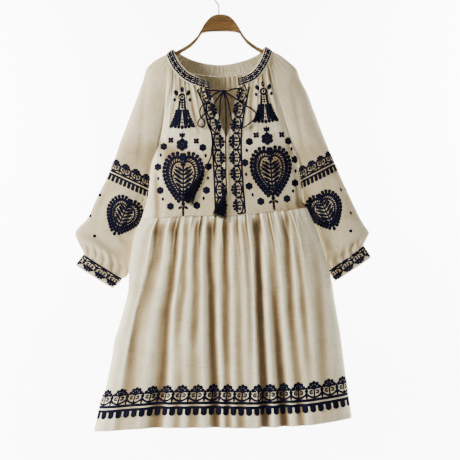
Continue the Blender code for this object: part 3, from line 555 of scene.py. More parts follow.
# Creases on each sheet: width, depth (below 0 for a ridge), and the pixels that they follow
CREASES = {
    "sleeve_left": (
        (9, 5.0, ((83, 234), (97, 241), (112, 252), (128, 258))),
        (10, -4.0, ((84, 240), (98, 248), (112, 259), (124, 266))),
        (7, 3.5, ((118, 232), (124, 242), (134, 250))),
        (8, 3.0, ((150, 190), (143, 205), (139, 222), (133, 240))),
        (7, 3.0, ((149, 178), (140, 192), (136, 204))),
        (9, 2.2, ((133, 70), (124, 105), (117, 140), (110, 160))),
        (8, 2.4, ((146, 80), (143, 110), (141, 140), (137, 165))),
        (10, 2.0, ((104, 190), (96, 215), (88, 228))), (4, 4.5, ((86, 246), (87, 251), (86, 256))),
        (4, 4.5, ((93, 247), (95, 254), (93, 261))), (4.5, 5.0, ((101, 252), (103, 259), (101, 266))),
        (4.5, 5.5, ((110, 255), (112, 264), (110, 272))), (4, -3.5, ((106, 255), (107, 262), (105, 269))),
        (4.5, 5.0, ((117, 258), (119, 268), (116, 276))), (4, 4.5, ((124, 262), (125, 271), (122, 279))),
    ),
    "sleeve_right": (
        (9, 5.0, ((371, 234), (359, 241), (345, 255), (334, 258))),
        (10, -4.0, ((371, 240), (358, 249), (345, 261), (336, 266))),
        (7, 3.5, ((326, 236), (330, 246), (325, 254))),
        (8, 3.0, ((301, 176), (306, 194), (311, 210), (318, 226))),
        (9, 2.2, ((303, 76), (314, 104), (324, 136), (331, 152))),
        (8, 2.4, ((292, 86), (297, 112), (303, 140), (308, 158))),
        (10, 2.0, ((345, 190), (355, 210), (363, 224))), (4, 4.5, ((362, 240), (361, 245), (362, 250))),
        (4, 4.5, ((355, 243), (353, 249), (355, 255))), (4.5, 5.0, ((347, 247), (345, 254), (347, 261))),
        (4, -3.5, ((350, 246), (349, 252), (351, 258))), (4.5, 5.5, ((339, 252), (337, 259), (340, 266))),
        (4, 4.5, ((332, 256), (330, 263), (333, 270))),
    ),
    "bodice_front_left": (
        (7, 3.2, ((154, 158), (156, 190), (158, 217))),
        (6, 2.6, ((174, 80), (168, 100), (162, 126), (159, 150))),
        (5, 2.4, ((180, 86), (174, 108), (170, 132))), (5, 2.2, ((190, 92), (194, 112), (200, 134))),
        (6, -1.8, ((170, 84), (165, 106), (160, 130))),
    ),
    "bodice_front_right": (
        (6, 2.6, ((268, 70), (276, 96), (284, 124), (290, 150))),
        (5, 2.4, ((262, 78), (270, 100), (279, 126))), (5, 2.2, ((252, 88), (251, 110), (252, 134))),
        (7, 2.6, ((296, 166), (298, 188), (300, 206))),
    ),
    "skirt_front": (
        (10, 3.0, ((200, 222), (197, 250), (196, 290), (195, 340))),
        (12, 3.0, ((241, 222), (247, 250), (251, 300), (252, 350))),
        (12, 2.4, ((226, 222), (226, 260), (228, 300), (229, 360))),
        (16, 3.5, ((312, 222), (318, 260), (322, 320), (326, 390))),
        (14, 2.6, ((136, 330), (132, 360), (128, 400))),
    ),
}
CREASE_STEPS = 40


def creased(name, grid):
    """The grid with its listed creases, which its far side repeats a little higher and shallower."""
    normal = normals_of(grid)
    moves = np.zeros(grid.shape[:2])
    for width, depth, places in CREASES.get(name, ()):
        line = evenly(pixels(*places), CREASE_STEPS)
        fade = np.sin(np.pi * np.linspace(0.06, 0.94, CREASE_STEPS + 1)) ** 0.6
        for facing, lift, share in ((-1, 0.0, 1.0), (1, 14.0, 0.8)):
            if facing > 0 and not name.startswith("sleeve"):
                continue
            away = grid[..., None, (0, 2)] - (line + (0, lift))
            far = np.linalg.norm(away, axis=-1)
            nearest = far.argmin(axis=-1)
            reach = np.exp(-((far.min(axis=-1) / width) ** 2)) * fade[nearest]
            moves -= depth * share * reach * np.clip(normal[..., 1] * facing * 2.5, 0, 1)
    return grid + normal * moves[..., None]


def cuff_grid(side):
    """The cuff, below the last row of the sleeve."""
    top, foot = np.array(SLEEVE[side], float)[-2:]
    share = np.linspace(0, 1, CUFF_ROWS + 1)[:, None]
    fine = top * (1 - share) + foot * share
    grid = whole_round(side, table_sections(fine, -1), table_sections(fine, 1))
    bulge = 0.6 + 0.9 * np.sin(np.pi * share) ** 0.6
    return grid + normals_of(grid) * bulge[..., None]


# Materials: the output that each kind of node is used for
OUTPUTS = {
    "Attribute": "Vector", "Bump": "Normal", "CombineXYZ": "Vector", "Mapping": "Vector", "Math": "Value",
    "MixRGB": "Color", "TexCoord": "Object", "TexNoise": "Fac", "TexWave": "Fac",
}


class Paint:
    """A new material and short calls that add nodes to it."""

    def __init__(self, name, **looks):
        self.material = bpy.data.materials.new(name)
        self.material.use_nodes = True
        tree = self.material.node_tree
        self.nodes, self.link = tree.nodes, tree.links.new
        self.shader = self.nodes["Principled BSDF"]
        for key, value in looks.items():
            self.shader.inputs[key.replace("_", " ")].default_value = value

    def add(self, kind, **values):
        """A new node, its properties and inputs set by name. Gives its output where it has one in use."""
        node = self.nodes.new("ShaderNode" + kind)
        for key, value in values.items():
            if hasattr(node, key):
                setattr(node, key, value)
            elif isinstance(value, bpy.types.NodeSocket):
                self.link(value, node.inputs[key])
            else:
                node.inputs[key].default_value = value
        return node.outputs[OUTPUTS[kind]] if kind in OUTPUTS else node

    def stretched(self, kind, source, scale, **values):
        """A texture on coordinates that are scaled along each axis."""
        mapping = self.add("Mapping", Vector=source, Scale=scale)
        return self.add(kind, Vector=mapping, Scale=1.0, **values)

    def math(self, operation, a, b):
        """Two values combined. Each is a number or a node's output."""
        node = self.nodes.new("ShaderNodeMath")
        node.operation = operation
        for socket, value in zip(node.inputs, (a, b)):
            if isinstance(value, bpy.types.NodeSocket):
                self.link(value, socket)
            else:
                socket.default_value = value
        return node.outputs["Value"]

    def ramp(self, factor, stops):
        """A colour picked by the factor between the stops."""
        node = self.nodes.new("ShaderNodeValToRGB")
        elements = node.color_ramp.elements
        for element, (position, colour) in zip(elements, (stops[0], stops[-1])):
            element.position, element.color = position, (*colour, 1)
        for position, colour in stops[1:-1]:
            elements.new(position).color = (*colour, 1)
        self.link(factor, node.inputs["Fac"])
        return node.outputs["Color"]

    def finish(self, colour, height=None, strength=0.0, distance=0.0):
        """The material, its colour and its relief joined to the shader."""
        self.link(colour, self.shader.inputs["Base Color"])
        if height is not None:
            bump = self.add("Bump", Strength=strength, Distance=distance, Height=height)
            self.link(bump, self.shader.inputs["Normal"])
        return self.material


# The linen's tones, from its slubs' shadows to its brightest threads
LINEN_TONES = ((0.36, (0.48, 0.39, 0.22)), (0.50, (0.79, 0.705, 0.48)), (0.66, (0.92, 0.87, 0.66)))
# Painted shade that folds get, multiplied into it, from a ridge to deep in a fold
PAINTED_FOLD_SHADE_TONES = (
    (0.12, (1.0, 1.0, 1.0)), (0.33, (0.68, 0.62, 0.52)), (0.46, (0.42, 0.335, 0.23)),
    (0.70, (0.19, 0.13, 0.075)), (1.0, (0.08, 0.052, 0.03)),
)
# Scales of the linen's threads, lengthwise and crosswise, and of its slubs, in waves to the metre
WEAVE_SCALES = ((1450, 0, 0), (0, 1300, 0))
SLUB_SCALES = ((900, 26, 1), (26, 900, 1))
WOOD_TONES = ((0.45, (0.035, 0.014, 0.003)), (0.62, (0.105, 0.05, 0.011)), (0.85, (0.19, 0.098, 0.026)))
WIRE_TONES = ((0.3, (0.004, 0.004, 0.005)), (0.7, (0.012, 0.012, 0.013)))
WALL_TONES = ((0.3, (0.96, 0.96, 0.96)), (0.7, (0.98, 0.98, 0.98)))


def linen():
    """Plain-woven cream linen with slubs, from the cloth's own lengthwise and crosswise threads, darkened by
    painted shade in its folds.
    """
    paint = Paint("linen", Roughness=0.9, Sheen_Weight=0.12, Sheen_Roughness=0.6, Specular_IOR_Level=0.15)
    parts = paint.add("SeparateXYZ", Vector=paint.add("Attribute", attribute_name="cloth")).outputs
    flat = paint.add("CombineXYZ", X=parts["X"], Y=parts["Y"])
    threads = [paint.stretched("TexWave", flat, s, Distortion=1.2, Detail=1.0) for s in WEAVE_SCALES]
    slubs = [paint.stretched("TexNoise", flat, s, Detail=3.0, Roughness=0.6) for s in SLUB_SCALES]
    weave, slub = paint.math("MAXIMUM", *threads), paint.math("ADD", *slubs)
    mottle = paint.add("TexNoise", Vector=flat, Scale=14.0, Detail=5.0, Roughness=0.7)
    tone = paint.math("ADD", paint.math("MULTIPLY", slub, 0.38), paint.math("MULTIPLY", mottle, 0.24))
    # The cloth attribute's third value is the painted shade of the folds, which darkens the linen through
    # its ramp
    depth = paint.math("MULTIPLY", paint.math("ADD", parts["Z"], 0.5), 1 / 1.5)
    base, folds = paint.ramp(tone, LINEN_TONES), paint.ramp(depth, PAINTED_FOLD_SHADE_TONES)
    colour = paint.add("MixRGB", blend_type="MULTIPLY", Fac=1.0, Color1=base, Color2=folds)
    height = paint.math("ADD", weave, paint.math("MULTIPLY", slub, 1.5))
    return paint.finish(colour, height, 0.45, 0.0004)


def thread(name, dark, light, pitch=2400.0):
    """Satin-stitched thread: fine ridges along the stitches, painted lighter where they stand up and darker
    where they sink, which is painted sheen and shade, with a little random tone.
    """
    paint = Paint(name, Roughness=0.8, Specular_IOR_Level=0.06)
    stitch = paint.add("Attribute", attribute_name="cloth")
    wave = paint.stretched("TexWave", stitch, (pitch, 0, 0), Distortion=0.8, Detail=1.0)
    noise = paint.add("TexNoise", Vector=stitch, Scale=420.0, Detail=3.0)
    # The colour follows the ridges' own height: painted sheen on their tops, painted shade between them
    tone = paint.math("MULTIPLY", paint.math("ADD", wave, noise), 0.5)
    return paint.finish(paint.ramp(tone, ((0.25, dark), (0.75, light))), tone, 0.6, 0.0003)


def wood():
    """Honey-coloured bent wood, its grain following the hanger's length."""
    paint = Paint("varnished wood", Roughness=0.38, Coat_Weight=0.12, Coat_Roughness=0.25)
    where = paint.add("TexCoord")
    rings = paint.stretched("TexNoise", where, (14, 260, 150), Detail=6.0, Roughness=0.62, Distortion=0.6)
    pores = paint.stretched("TexNoise", where, (90, 900, 900), Detail=2.0)
    tone = paint.math("ADD", rings, paint.math("MULTIPLY", pores, 0.3))
    return paint.finish(paint.ramp(tone, WOOD_TONES), tone, 0.15, 0.0004)


def wire_paint():
    """Black paint on wire."""
    paint = Paint("black wire", Roughness=0.5, Specular_IOR_Level=0.3)
    noise = paint.add("TexNoise", Vector=paint.add("TexCoord"), Scale=300.0, Detail=3.0)
    return paint.finish(paint.ramp(noise, WIRE_TONES))


def shown(name, data, material, replaced=()):
    """Links a piece, gives it its material and its body, and hides the nodes it stands for."""
    piece = bpy.data.objects.new(name, data)
    bpy.context.scene.collection.objects.link(piece)
    piece.data.materials.append(material)
    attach(piece, "root")
    if replaced:
        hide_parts(*replaced)
    return piece


def mesh_of(name, points, faces, on_cloth):
    """A smooth mesh from points in millimetres, with each point's place on its cloth in metres."""
    mesh = bpy.data.meshes.new(name)
    mesh.from_pydata((points * MM).tolist(), [], faces)
    values = np.zeros((len(points), 3), np.float32)
    values[:, : on_cloth.shape[1]] = on_cloth
    mesh.attributes.new("cloth", "FLOAT_VECTOR", "POINT").data.foreach_set("vector", values.ravel())
    mesh.shade_smooth()
    return mesh


def grid_quads(rows, columns, start=0):
    """The four corners of each cell of a grid of points, counted from start."""
    index = np.arange(rows * columns).reshape(rows, columns) + start
    corners = [index[:-1, :-1], index[1:, :-1], index[1:, 1:], index[:-1, 1:]]
    return np.stack(corners, axis=-1).reshape(-1, 4)


def tube_faces(start, rings, sides):
    """Faces of a closed tube whose rings of points follow each other from start."""
    faces = []
    for a in range(start, start + (rings - 1) * sides, sides):
        b = a + sides
        for j in range(sides):
            m = (j + 1) % sides
            faces.append((a + j, a + m, b + m, b + j))
    faces.append(tuple(range(start + sides - 1, start - 1, -1)))
    faces.append(tuple(range(start + (rings - 1) * sides, start + rings * sides)))
    return faces


# How the painted shade of folds is gathered: over how many cells, the depth that counts in full, and its
# share
PAINTED_SHADE_REACHES = ((3, 1.0, 0.25), (8, 3.2, 0.5), (14, 5.5, 0.6))
PAINTED_SHADE_BLUR = 3
# How much of that painted shade each kind of panel shows, and the bodice's back
PANEL_PAINTED_SHADE = {"sleeve": 0.15, "bodice": 0.8, "neckband": 0.4, "cuff": 0.3, "skirt": 0.7}
BACK_PAINTED_SHADE = 0.15
# Points of a tube's two edges that are nearer than this are one point
SAME_POINT = 0.05


def painted_fold_shade(grid):
    """How deep each point lies in a fold, from 0 to 1, for the painted shade that darkens folds."""
    normal = normals_of(grid)
    shade = np.zeros(grid.shape[:2])
    for reach, depth, share in PAINTED_SHADE_REACHES:
        below = ((blurred(grid, reach) - grid) * normal).sum(axis=2) / depth
        shade += share * np.clip(below, -0.5, 1)
    return np.clip(blurred(shade[..., None], PAINTED_SHADE_BLUR)[..., 0], -0.5, 1)


def sheet_mesh(name, grid, tube):
    """A mesh of a grid of points, with its place on the cloth and the painted shade of its folds. A tube's
    edges are joined.
    """
    rows, columns = grid.shape[:2]
    quads = grid_quads(rows, columns)
    across = np.linalg.norm(np.diff(grid, axis=1), axis=2).mean(axis=0)
    down = np.linalg.norm(np.diff(grid, axis=0), axis=2).mean(axis=1)
    s, t = np.meshgrid(*(np.concatenate([[0], np.cumsum(steps)]) * MM for steps in (across, down)))
    share = BACK_PAINTED_SHADE if name == "bodice_back" else PANEL_PAINTED_SHADE[name.split("_")[0]]
    # The third value is the painted shade of the folds, from how deep each point lies in a fold
    on_cloth = np.stack([s, t, painted_fold_shade(grid) * share], axis=-1).reshape(-1, 3)
    if tube:
        joined = np.linalg.norm(grid[:, 0] - grid[:, -1], axis=1) < SAME_POINT
        index = np.arange(rows * columns)
        first = index.reshape(rows, columns)[joined, 0]
        index[first + columns - 1] = first
        quads = index[quads]
    return mesh_of(name, grid.reshape(-1, 3), quads.tolist(), on_cloth)


def cloth(name, grid, material):
    """A cloth panel with its thickness, which stands for the node of the same name."""
    mesh = sheet_mesh(name, grid, name.startswith(("sleeve", "cuff")))
    piece = shown(name + "_cloth", mesh, material, (name,))
    thick = piece.modifiers.new("thickness", "SOLIDIFY")
    thick.thickness = (BAND_WALL if name.startswith(("cuff", "neckband")) else WALL) * MM
    thick.offset = -1


# Embroidery: shapes are drawn in millimetres, x across and y up, then laid on the cloth


def pad(outline):
    """A filled shape, raised like satin stitch."""
    return ("pad", np.asarray(outline, float), 0.0)


def stroke(path, width):
    """A raised line of stitches."""
    return ("line", np.asarray(path, float), width)


def dot(x, y, radius, sides=10):
    turn = np.linspace(0, 2 * np.pi, sides, endpoint=False)
    return pad(np.stack([x + radius * np.cos(turn), y + radius * np.sin(turn)], axis=1))


def leaf(x, y, length, width, angle, fullness=0.0, sides=12):
    """A leaf from its base at x, y; fullness up to 1 narrows its base, which makes it a petal."""
    turn = np.linspace(0, 2 * np.pi, sides, endpoint=False)
    out = (1 - np.cos(turn)) / 2
    along_it, across = length * out, width / 2 * np.sin(turn) * (1 - fullness * (1 - out))
    c, s = math.cos(angle), math.sin(angle)
    return pad(np.stack([x + along_it * c - across * s, y + along_it * s + across * c], axis=1))


def arc(x, y, radius, start, end, steps, squash=1.0):
    """Points on an arc between two angles in degrees."""
    turn = np.radians(np.linspace(start, end, steps + 1))
    return np.stack([x + radius * np.cos(turn), y + radius * squash * np.sin(turn)], axis=1)


def moved(shapes, x, y, angle=0.0, scale=1.0):
    """The shapes turned by an angle in degrees, scaled, and moved to x, y."""
    c, s = math.cos(math.radians(angle)) * scale, math.sin(math.radians(angle)) * scale
    result = []
    for kind, points, width in shapes:
        px, py = points.T
        result.append((kind, np.stack([x + px * c - py * s, y + px * s + py * c], axis=1), width * scale))
    return result


def repeats(length, pitch):
    """Whole repeats near the pitch that fill a length: how long each is, and where their middles lie."""
    count = max(1, round(length / pitch))
    step = length / count
    return step, [(k + 0.5) * step for k in range(count)]


def petals(count, start, foot, length, width):
    """Petals that stand out from a middle, the first at the start angle, their feet a little way off."""
    shapes = []
    for k in range(count):
        angle = 2 * math.pi * k / count + start
        shapes.append(leaf(foot * math.cos(angle), foot * math.sin(angle), length, width, angle, 0.4, 10))
    return shapes


def rosette(radius):
    """A round flower of six fat petals that touch, with a raised eye."""
    eye = radius * 0.22
    return petals(6, math.pi / 2, eye, radius * 0.78, radius * 5.6 / 6) + [dot(0, 0, eye, 8)]


def cross_flower(radius):
    """A small flower of four petals."""
    return petals(4, math.pi / 4, radius * 0.1, radius * 0.9, radius * 0.95)


# Lobes of the small palmette: angle, then distance and radius as shares of its size
LOBES = ((90, 0.44, 0.17), (38, 0.40, 0.17), (142, 0.40, 0.17), (-12, 0.38, 0.16), (192, 0.38, 0.16))
# Lobes of the running border's flower: across as a share of the pitch, up as a share of the height
BORDER_LOBES = ((0, 0.90), (-0.2, 0.83), (0.2, 0.83), (-0.335, 0.655), (0.335, 0.655))


def palmette(size):
    """A flower of five fat round lobes, standing on a stem."""
    shapes = [dot(0, 0, size * 0.2)]
    for angle, far, radius in LOBES:
        c, s = math.cos(math.radians(angle)), math.sin(math.radians(angle))
        shapes.append(dot(size * far * c, size * far * s, size * radius))
        shapes.append(stroke([(0, 0), (size * far * c, size * far * s)], size * 0.16))
    shapes.append(leaf(0, -size * 0.5, size * 0.5, size * 0.13, math.pi / 2))
    return shapes


def flower_repeat(pitch, height):
    """One repeat of the running border: a fan of five lobes in an arc that crosses its neighbours."""
    least = min(pitch, height * 1.1)
    thick, lobe = 0.1 * least, 0.112 * least
    middle, cup_reach = height * 0.62, pitch * 0.58
    shapes = [stroke(arc(0, middle, cup_reach, 190, 350, 16, height * 0.54 / cup_reach), thick)]
    for x, y in BORDER_LOBES:
        x, y, foot = x * pitch, y * height, height * 0.56
        shapes += [dot(x, y, lobe), stroke([(0, foot), (x * 0.5, (y + foot) / 2), (x, y)], thick)]
    shapes.append(dot(0, middle, lobe * 0.8))
    shapes.append(stroke([(0, height * share) for share in (0.14, 0.38, 0.6)], thick * 0.8))
    for side in (-1, 1):
        x, y = side * pitch * 0.19, height * 0.39
        ring = arc(x, y, least * 0.095, 90 + side * 60, 90 - side * 250, 12)
        shapes += [stroke(ring, thick * 0.6), dot(x, y, least * 0.03, 6)]
    for foot, length in ((0, 0.3), (0.47, 0.2)):
        shapes.append(leaf(-pitch * 0.5, height * foot, height * length, thick * 1.5, math.pi / 2, 0.3, 8))
    return shapes


# Columns of stitches in a comb's tooth, points in a column, and the step between a line's points
COMB_COLUMNS, COMB_POINTS, LINE_STEP = 6, 6, 2.2


def comb(length, pitch, tooth, reach, top):
    """Rounded teeth that hang from a line, each worked in a few columns of stitches."""
    shapes = []
    step, middles = repeats(length, pitch)
    half = tooth * step / 2
    for middle in middles:
        for j in range(COMB_COLUMNS):
            across = (2 * j + 1) / COMB_COLUMNS - 1
            foot = top - reach + half * (1 - math.sqrt(1 - across**2))
            y = np.linspace(top + 0.5, foot, COMB_POINTS)
            x = np.full(COMB_POINTS, middle + across * half)
            shapes.append(stroke(np.stack([x, y], axis=1), 2.1 * half / COMB_COLUMNS))
    return shapes


def line_across(length, y, width):
    """A straight line of stitches, with a point every few millimetres so that it follows the cloth."""
    x = np.linspace(0, length, max(2, int(length / LINE_STEP)))
    return stroke(np.stack([x, np.full_like(x, y)], axis=1), width)


def running_border(length, pitch, flower, lines, thick, teeth):
    """Flowers on two lines above a comb. teeth gives the comb's pitch, share and reach."""
    step, middles = repeats(length, pitch)
    shapes = []
    for middle in middles:
        shapes += moved(flower_repeat(step, flower), middle, max(lines) + thick * 0.4)
    shapes += [line_across(length, y, thick) for y in lines]
    return shapes + comb(length, *teeth, min(lines))


# Half of the heart's outline from its cleft to its tip: share of the half width, share of the height
HEART_HALF = (
    (0.0, 0.92), (0.16, 0.975), (0.38, 1.0), (0.62, 0.975), (0.83, 0.90), (0.95, 0.79), (1.0, 0.67),
    (0.97, 0.56), (0.89, 0.46), (0.78, 0.37), (0.62, 0.275), (0.46, 0.19), (0.30, 0.105), (0.14, 0.04),
    (0.0, 0.0),
)


def heart_outline(width, height, count, inset=0.0):
    """count points round a heart from its cleft, drawn in by inset; its middle is at 0, 0."""
    half = np.array(HEART_HALF)
    right = np.stack([half[:, 0] * (width / 2 - inset), (half[:, 1] - 0.5) * (height - 2.3 * inset)], axis=1)
    right = smooth(right, np.linspace(0, 1, 160))
    line = np.vstack([right, right[-2::-1] * (-1, 1)])
    run = run_of(line)
    return along(line, run, np.linspace(0, run[-1], count + 1))[:-1]


def closed(line):
    """The line with its first point again at its end."""
    return np.vstack([line, line[:1]])


# The leaf pairs on the heart's stem: foot, length and width
HEART_LEAVES = (
    (-43, 12, 6), (-34, 17, 7), (-24, 22, 7.5), (-13.5, 26, 8), (-2.5, 28, 8), (8.5, 26, 8), (19, 17, 7),
)
# The dots between them, on one side
HEART_DOTS = ((25.5, 7), (24, -8), (17, 28), (18, -19), (12, -30))
# The width that the heart's own measures are drawn for, and how far its petals reach as a share of it
HEART_DRAWN, HEART_REACH = 105, 0.105
# Insets in petals' reaches: their feet, the band, the ladder's two ends, the line and the specks
HEART_FEET, HEART_BAND, LADDER_OUT, LADDER_IN, HEART_LINE, HEART_SPECKS = 0.9, 1.1, 1.3, 2.0, 2.05, 2.6


def heart(width, height, count):
    """A heart edged with petals, then a band, a ladder, a line and specks round a leafy stem."""
    reach, fine = width * HEART_REACH, width / HEART_DRAWN

    def ring(points, inset):
        return heart_outline(width, height, points, reach * inset)

    shapes = []
    edge = ring(count, HEART_FEET)
    tangent = np.roll(edge, -1, axis=0) - np.roll(edge, 1, axis=0)
    spacing = np.linalg.norm(np.diff(edge, axis=0), axis=1).mean()
    for point, (tx, ty) in zip(edge, tangent):
        angle = math.atan2(tx, -ty)
        if abs(point[0]) <= spacing / 2:
            angle = math.copysign(math.pi / 2, point[1])
        shapes.append(leaf(*point, reach * 1.05, spacing * 1.3, angle, 0.4, 10))
    shapes.append(stroke(closed(ring(90, HEART_BAND)), 7.5 * fine))
    rungs = zip(ring(40, LADDER_OUT), np.roll(ring(40, LADDER_IN), 1, axis=0))
    shapes += [stroke(rung, 2.0 * fine) for rung in rungs]
    shapes.append(stroke(closed(ring(90, HEART_LINE)), 3.6 * fine))
    for k, point in enumerate(ring(26, HEART_SPECKS)):
        shapes.append(dot(*point, (2.3 if k % 2 else 1.3) * fine, 6))
    field = [stroke([(0, y) for y in (-46, -20, 6, 28)], 3.2), leaf(0, 25, 13, 7, math.pi / 2, 0.2)]
    for side in (-1, 1):
        for foot, length, wide in HEART_LEAVES:
            field.append(leaf(side * 1.5, foot, length, wide, math.radians(90 - side * 52), 0.1))
        field += [dot(side * x, y, 1.9, 8) for x, y in HEART_DOTS]
    return shapes + moved(field, 0, 0, 0, fine)


# The bell on one side: its flare, the line that its frill hangs on, and its ribs (x at neck and foot, width)
BELL_FLARE = ((7, -30), (10, -44), (16, -58), (20, -71))
BELL_FRILL = ((10, -34), (14, -47), (20.5, -60), (25.5, -71))
BELL_RIBS = ((2.6, 6.4, 4.0), (5.6, 12.2, 4.4))
BELL_BARS = (-14, -20, -26)
FRILL_LEAVES = 7


def bell_spray():
    """The tall flower above each heart: a head with buds, a flared bell, a palmette and a rosette."""
    shapes = [stroke(closed(arc(0, 0, 7.2, 90, 432, 19)), 4.6)]
    shapes += [dot(0, 0.5, 2.6, 8), leaf(0, 12, 14, 10.5, math.pi / 2, 0.2)]
    shapes.append(stroke([(0, y) for y in (-9, -19, -29)], 2.4))
    shapes += [stroke([(x, y) for x in (-6, 0, 6)], 1.8) for y in BELL_BARS]
    for side in (-1, 1):
        shapes.append(leaf(side * 12, 4, 14.5, 10.5, math.radians(90 - side * 24), 0.2))
        shapes.append(leaf(side * 19, -11, 9, 7, math.pi / 2, 0.2, 8))
        shapes.append(stroke([(side * 6.5, -8), (side * 7, -20), (side * 8.5, -33)], 4.6))
        shapes.append(stroke(smooth(BELL_FLARE, np.linspace(0, 1, 12)) * (side, 1), 8.6))
        for k, (x, y) in enumerate(smooth(BELL_FRILL, np.arange(FRILL_LEAVES) / (FRILL_LEAVES - 1))):
            shapes.append(leaf(side * x, y, 7.5, 7.6, math.radians(90 - side * (100 + 3 * k)), 0.1, 8))
        for top, foot, width in BELL_RIBS:
            rib = np.stack([np.linspace(side * top, side * foot, 8), np.linspace(-31, -70, 8)], axis=1)
            shapes.append(stroke(rib, width))
    shapes += [dot(0, -56, 1.6, 8), dot(0, -64, 2.0, 8)]
    for k in range(-3, 4):
        shapes.append(leaf(7.6 * k, -70 + abs(k) * 1.0, 10, 7.8, math.radians(-90 + 9 * k), 0.1, 10))
    return shapes + moved(palmette(17), 0, -93, 180, 0.85) + moved(rosette(15.5), 0, -118)


# How far before the hook's plane a ray starts, and where the nearest cloth is sought when it misses
RAY_START, NEAR_FRONT = -500, -40


class FrontChart:
    """Drawn x and y go straight back onto the cloth from in front. lay gives places and normals."""

    def __init__(self, grids):
        polygons, points = [], []
        for grid in grids:
            polygons += grid_quads(*grid.shape[:2], len(points)).tolist()
            points += grid.reshape(-1, 3).tolist()
        self.tree = BVHTree.FromPolygons(points, polygons)

    def lay(self, points):
        places, normals = np.zeros((len(points), 3)), np.zeros((len(points), 3))
        for i, (x, z) in enumerate(points):
            hit, normal, _, _ = self.tree.ray_cast(Vector((x, RAY_START, z)), Vector((0, 1, 0)))
            if hit is None:
                hit, normal, _, _ = self.tree.find_nearest(Vector((x, NEAR_FRONT, z)))
            places[i], normals[i] = hit, -normal if normal.y > 0 else normal
        return places, normals


class GridChart:
    """Drawn x runs round the cloth along one of its rows, and drawn y goes up its columns from that row."""

    def __init__(self, grid, base_row):
        self.grid = grid
        self.normal = normals_of(grid)
        self.base_row = base_row
        self.columns = np.arange(grid.shape[1], dtype=float)
        self.run = run_of(self.at(np.full(grid.shape[1], float(base_row)), self.columns)[0])
        self.length = self.run[-1]
        self.heights = np.vstack([run_of(column) for column in grid.transpose(1, 0, 2)])

    def at(self, r, c):
        rows, columns = self.grid.shape[:2]
        r, c = np.clip(r, 0, rows - 1.001), np.clip(c, 0, columns - 1.001)
        i, j = r.astype(int), c.astype(int)
        f, g = (r - i)[:, None], (c - j)[:, None]
        found = []
        for source in (self.grid, self.normal):
            top = source[i, j] * (1 - g) + source[i, j + 1] * g
            low = source[i + 1, j] * (1 - g) + source[i + 1, j + 1] * g
            found.append(top * (1 - f) + low * f)
        found[1] /= np.linalg.norm(found[1], axis=1, keepdims=True)
        return found

    def lay(self, points):
        c = np.interp(points[:, 0], self.run, self.columns)
        near = np.round(c).astype(int)
        r = np.zeros(len(points))
        rows = np.arange(self.grid.shape[0])
        for column in np.unique(near):
            picked = near == column
            heights = self.heights[column]
            base = np.interp(self.base_row, rows, heights)
            r[picked] = np.interp(base - points[picked, 1], heights, rows)
        return self.at(r, c)


ROUTE_STEPS = 60


class RouteChart:
    """Drawn x runs along a route on another chart, and drawn y lies to its left."""

    def __init__(self, chart, route):
        self.chart = chart
        self.route = evenly(route, ROUTE_STEPS)
        self.run = run_of(self.route)
        self.length = self.run[-1]
        direction = np.gradient(self.route, axis=0)
        direction /= np.linalg.norm(direction, axis=1, keepdims=True)
        self.left = np.stack([-direction[:, 1], direction[:, 0]], axis=1)

    def lay(self, points):
        base = along(self.route, self.run, points[:, 0])
        left = along(self.left, self.run, points[:, 0])
        beyond = points[:, :1] - np.clip(points[:, :1], 0, self.length)
        ahead = np.stack([left[:, 1], -left[:, 0]], axis=1)
        return self.chart.lay(base + left * points[:, 1:] + ahead * beyond)


# The thread's height at a shape's edge, on a pad and along a line, and a pad's shoulder as shares
PAD_EDGE, PAD_HEIGHT, LINE_HEIGHT = 0.45, 1.15, 0.95
SHOULDER_AT, SHOULDER_HEIGHT = 0.66, 0.85
# How far the thread spreads past a drawn edge
SPREAD = 0.45


def pad_mesh(points, at, spread):
    """A pad's points, heights and faces: its edge, its shoulder and its middle."""
    n = len(points)
    centre = points.mean(axis=0)
    away = points - centre
    points = points + away * spread / np.maximum(np.linalg.norm(away, axis=1, keepdims=True), 1e-6)
    drawn = np.vstack([points, centre + (points - centre) * SHOULDER_AT, centre])
    heights = [PAD_EDGE] * n + [PAD_HEIGHT * SHOULDER_HEIGHT] * n + [PAD_HEIGHT]
    faces = []
    for k in range(n):
        m = (k + 1) % n
        faces.append((at + k, at + m, at + n + m, at + n + k))
        faces.append((at + n + k, at + n + m, at + 2 * n))
    return drawn, heights, faces


def line_mesh(points, at, half):
    """A line's points, heights and faces: its two edges and its ridge."""
    n = len(points)
    direction = np.gradient(points, axis=0)
    direction /= np.maximum(np.linalg.norm(direction, axis=1, keepdims=True), 1e-9)
    left = np.stack([-direction[:, 1], direction[:, 0]], axis=1) * half
    drawn = np.vstack([points - left, points, points + left])
    heights = [PAD_EDGE] * n + [LINE_HEIGHT] * n + [PAD_EDGE] * n
    faces = []
    for k in range(n - 1):
        for a in (at + k, at + n + k):
            faces.append((a, a + 1, a + n + 1, a + n))
    return drawn, heights, faces


def embroidery(name, work, material, lift=0.0, spread=SPREAD):
    """One raised mesh of every shape. work is a list of (chart, shapes)."""
    all_points, all_faces, all_drawn = [], [], []
    start = 0
    for chart, shapes in work:
        drawn, heights, faces = [], [], []
        at = start
        for kind, points, width in shapes:
            if kind == "pad":
                parts = pad_mesh(points, at, spread)
            else:
                parts = line_mesh(points, at, width / 2 + spread)
            drawn.append(parts[0])
            heights += parts[1]
            faces += parts[2]
            at += len(parts[0])
        drawn = np.vstack(drawn)
        places, normals = chart.lay(drawn)
        places = places + normals * (np.array(heights) + lift)[:, None]
        a, b, c = (np.array([face[:3] for face in faces]) - start).T
        facing = np.cross(places[b] - places[a], places[c] - places[a])
        turned = (facing * normals[a]).sum(axis=1) < 0
        all_faces += [face[::-1] if over else face for face, over in zip(faces, turned)]
        all_points.append(places)
        all_drawn.append(drawn)
        start = at
    mesh = mesh_of(name, np.vstack(all_points), all_faces, np.vstack(all_drawn) * MM)
    return shown(name, mesh, material)


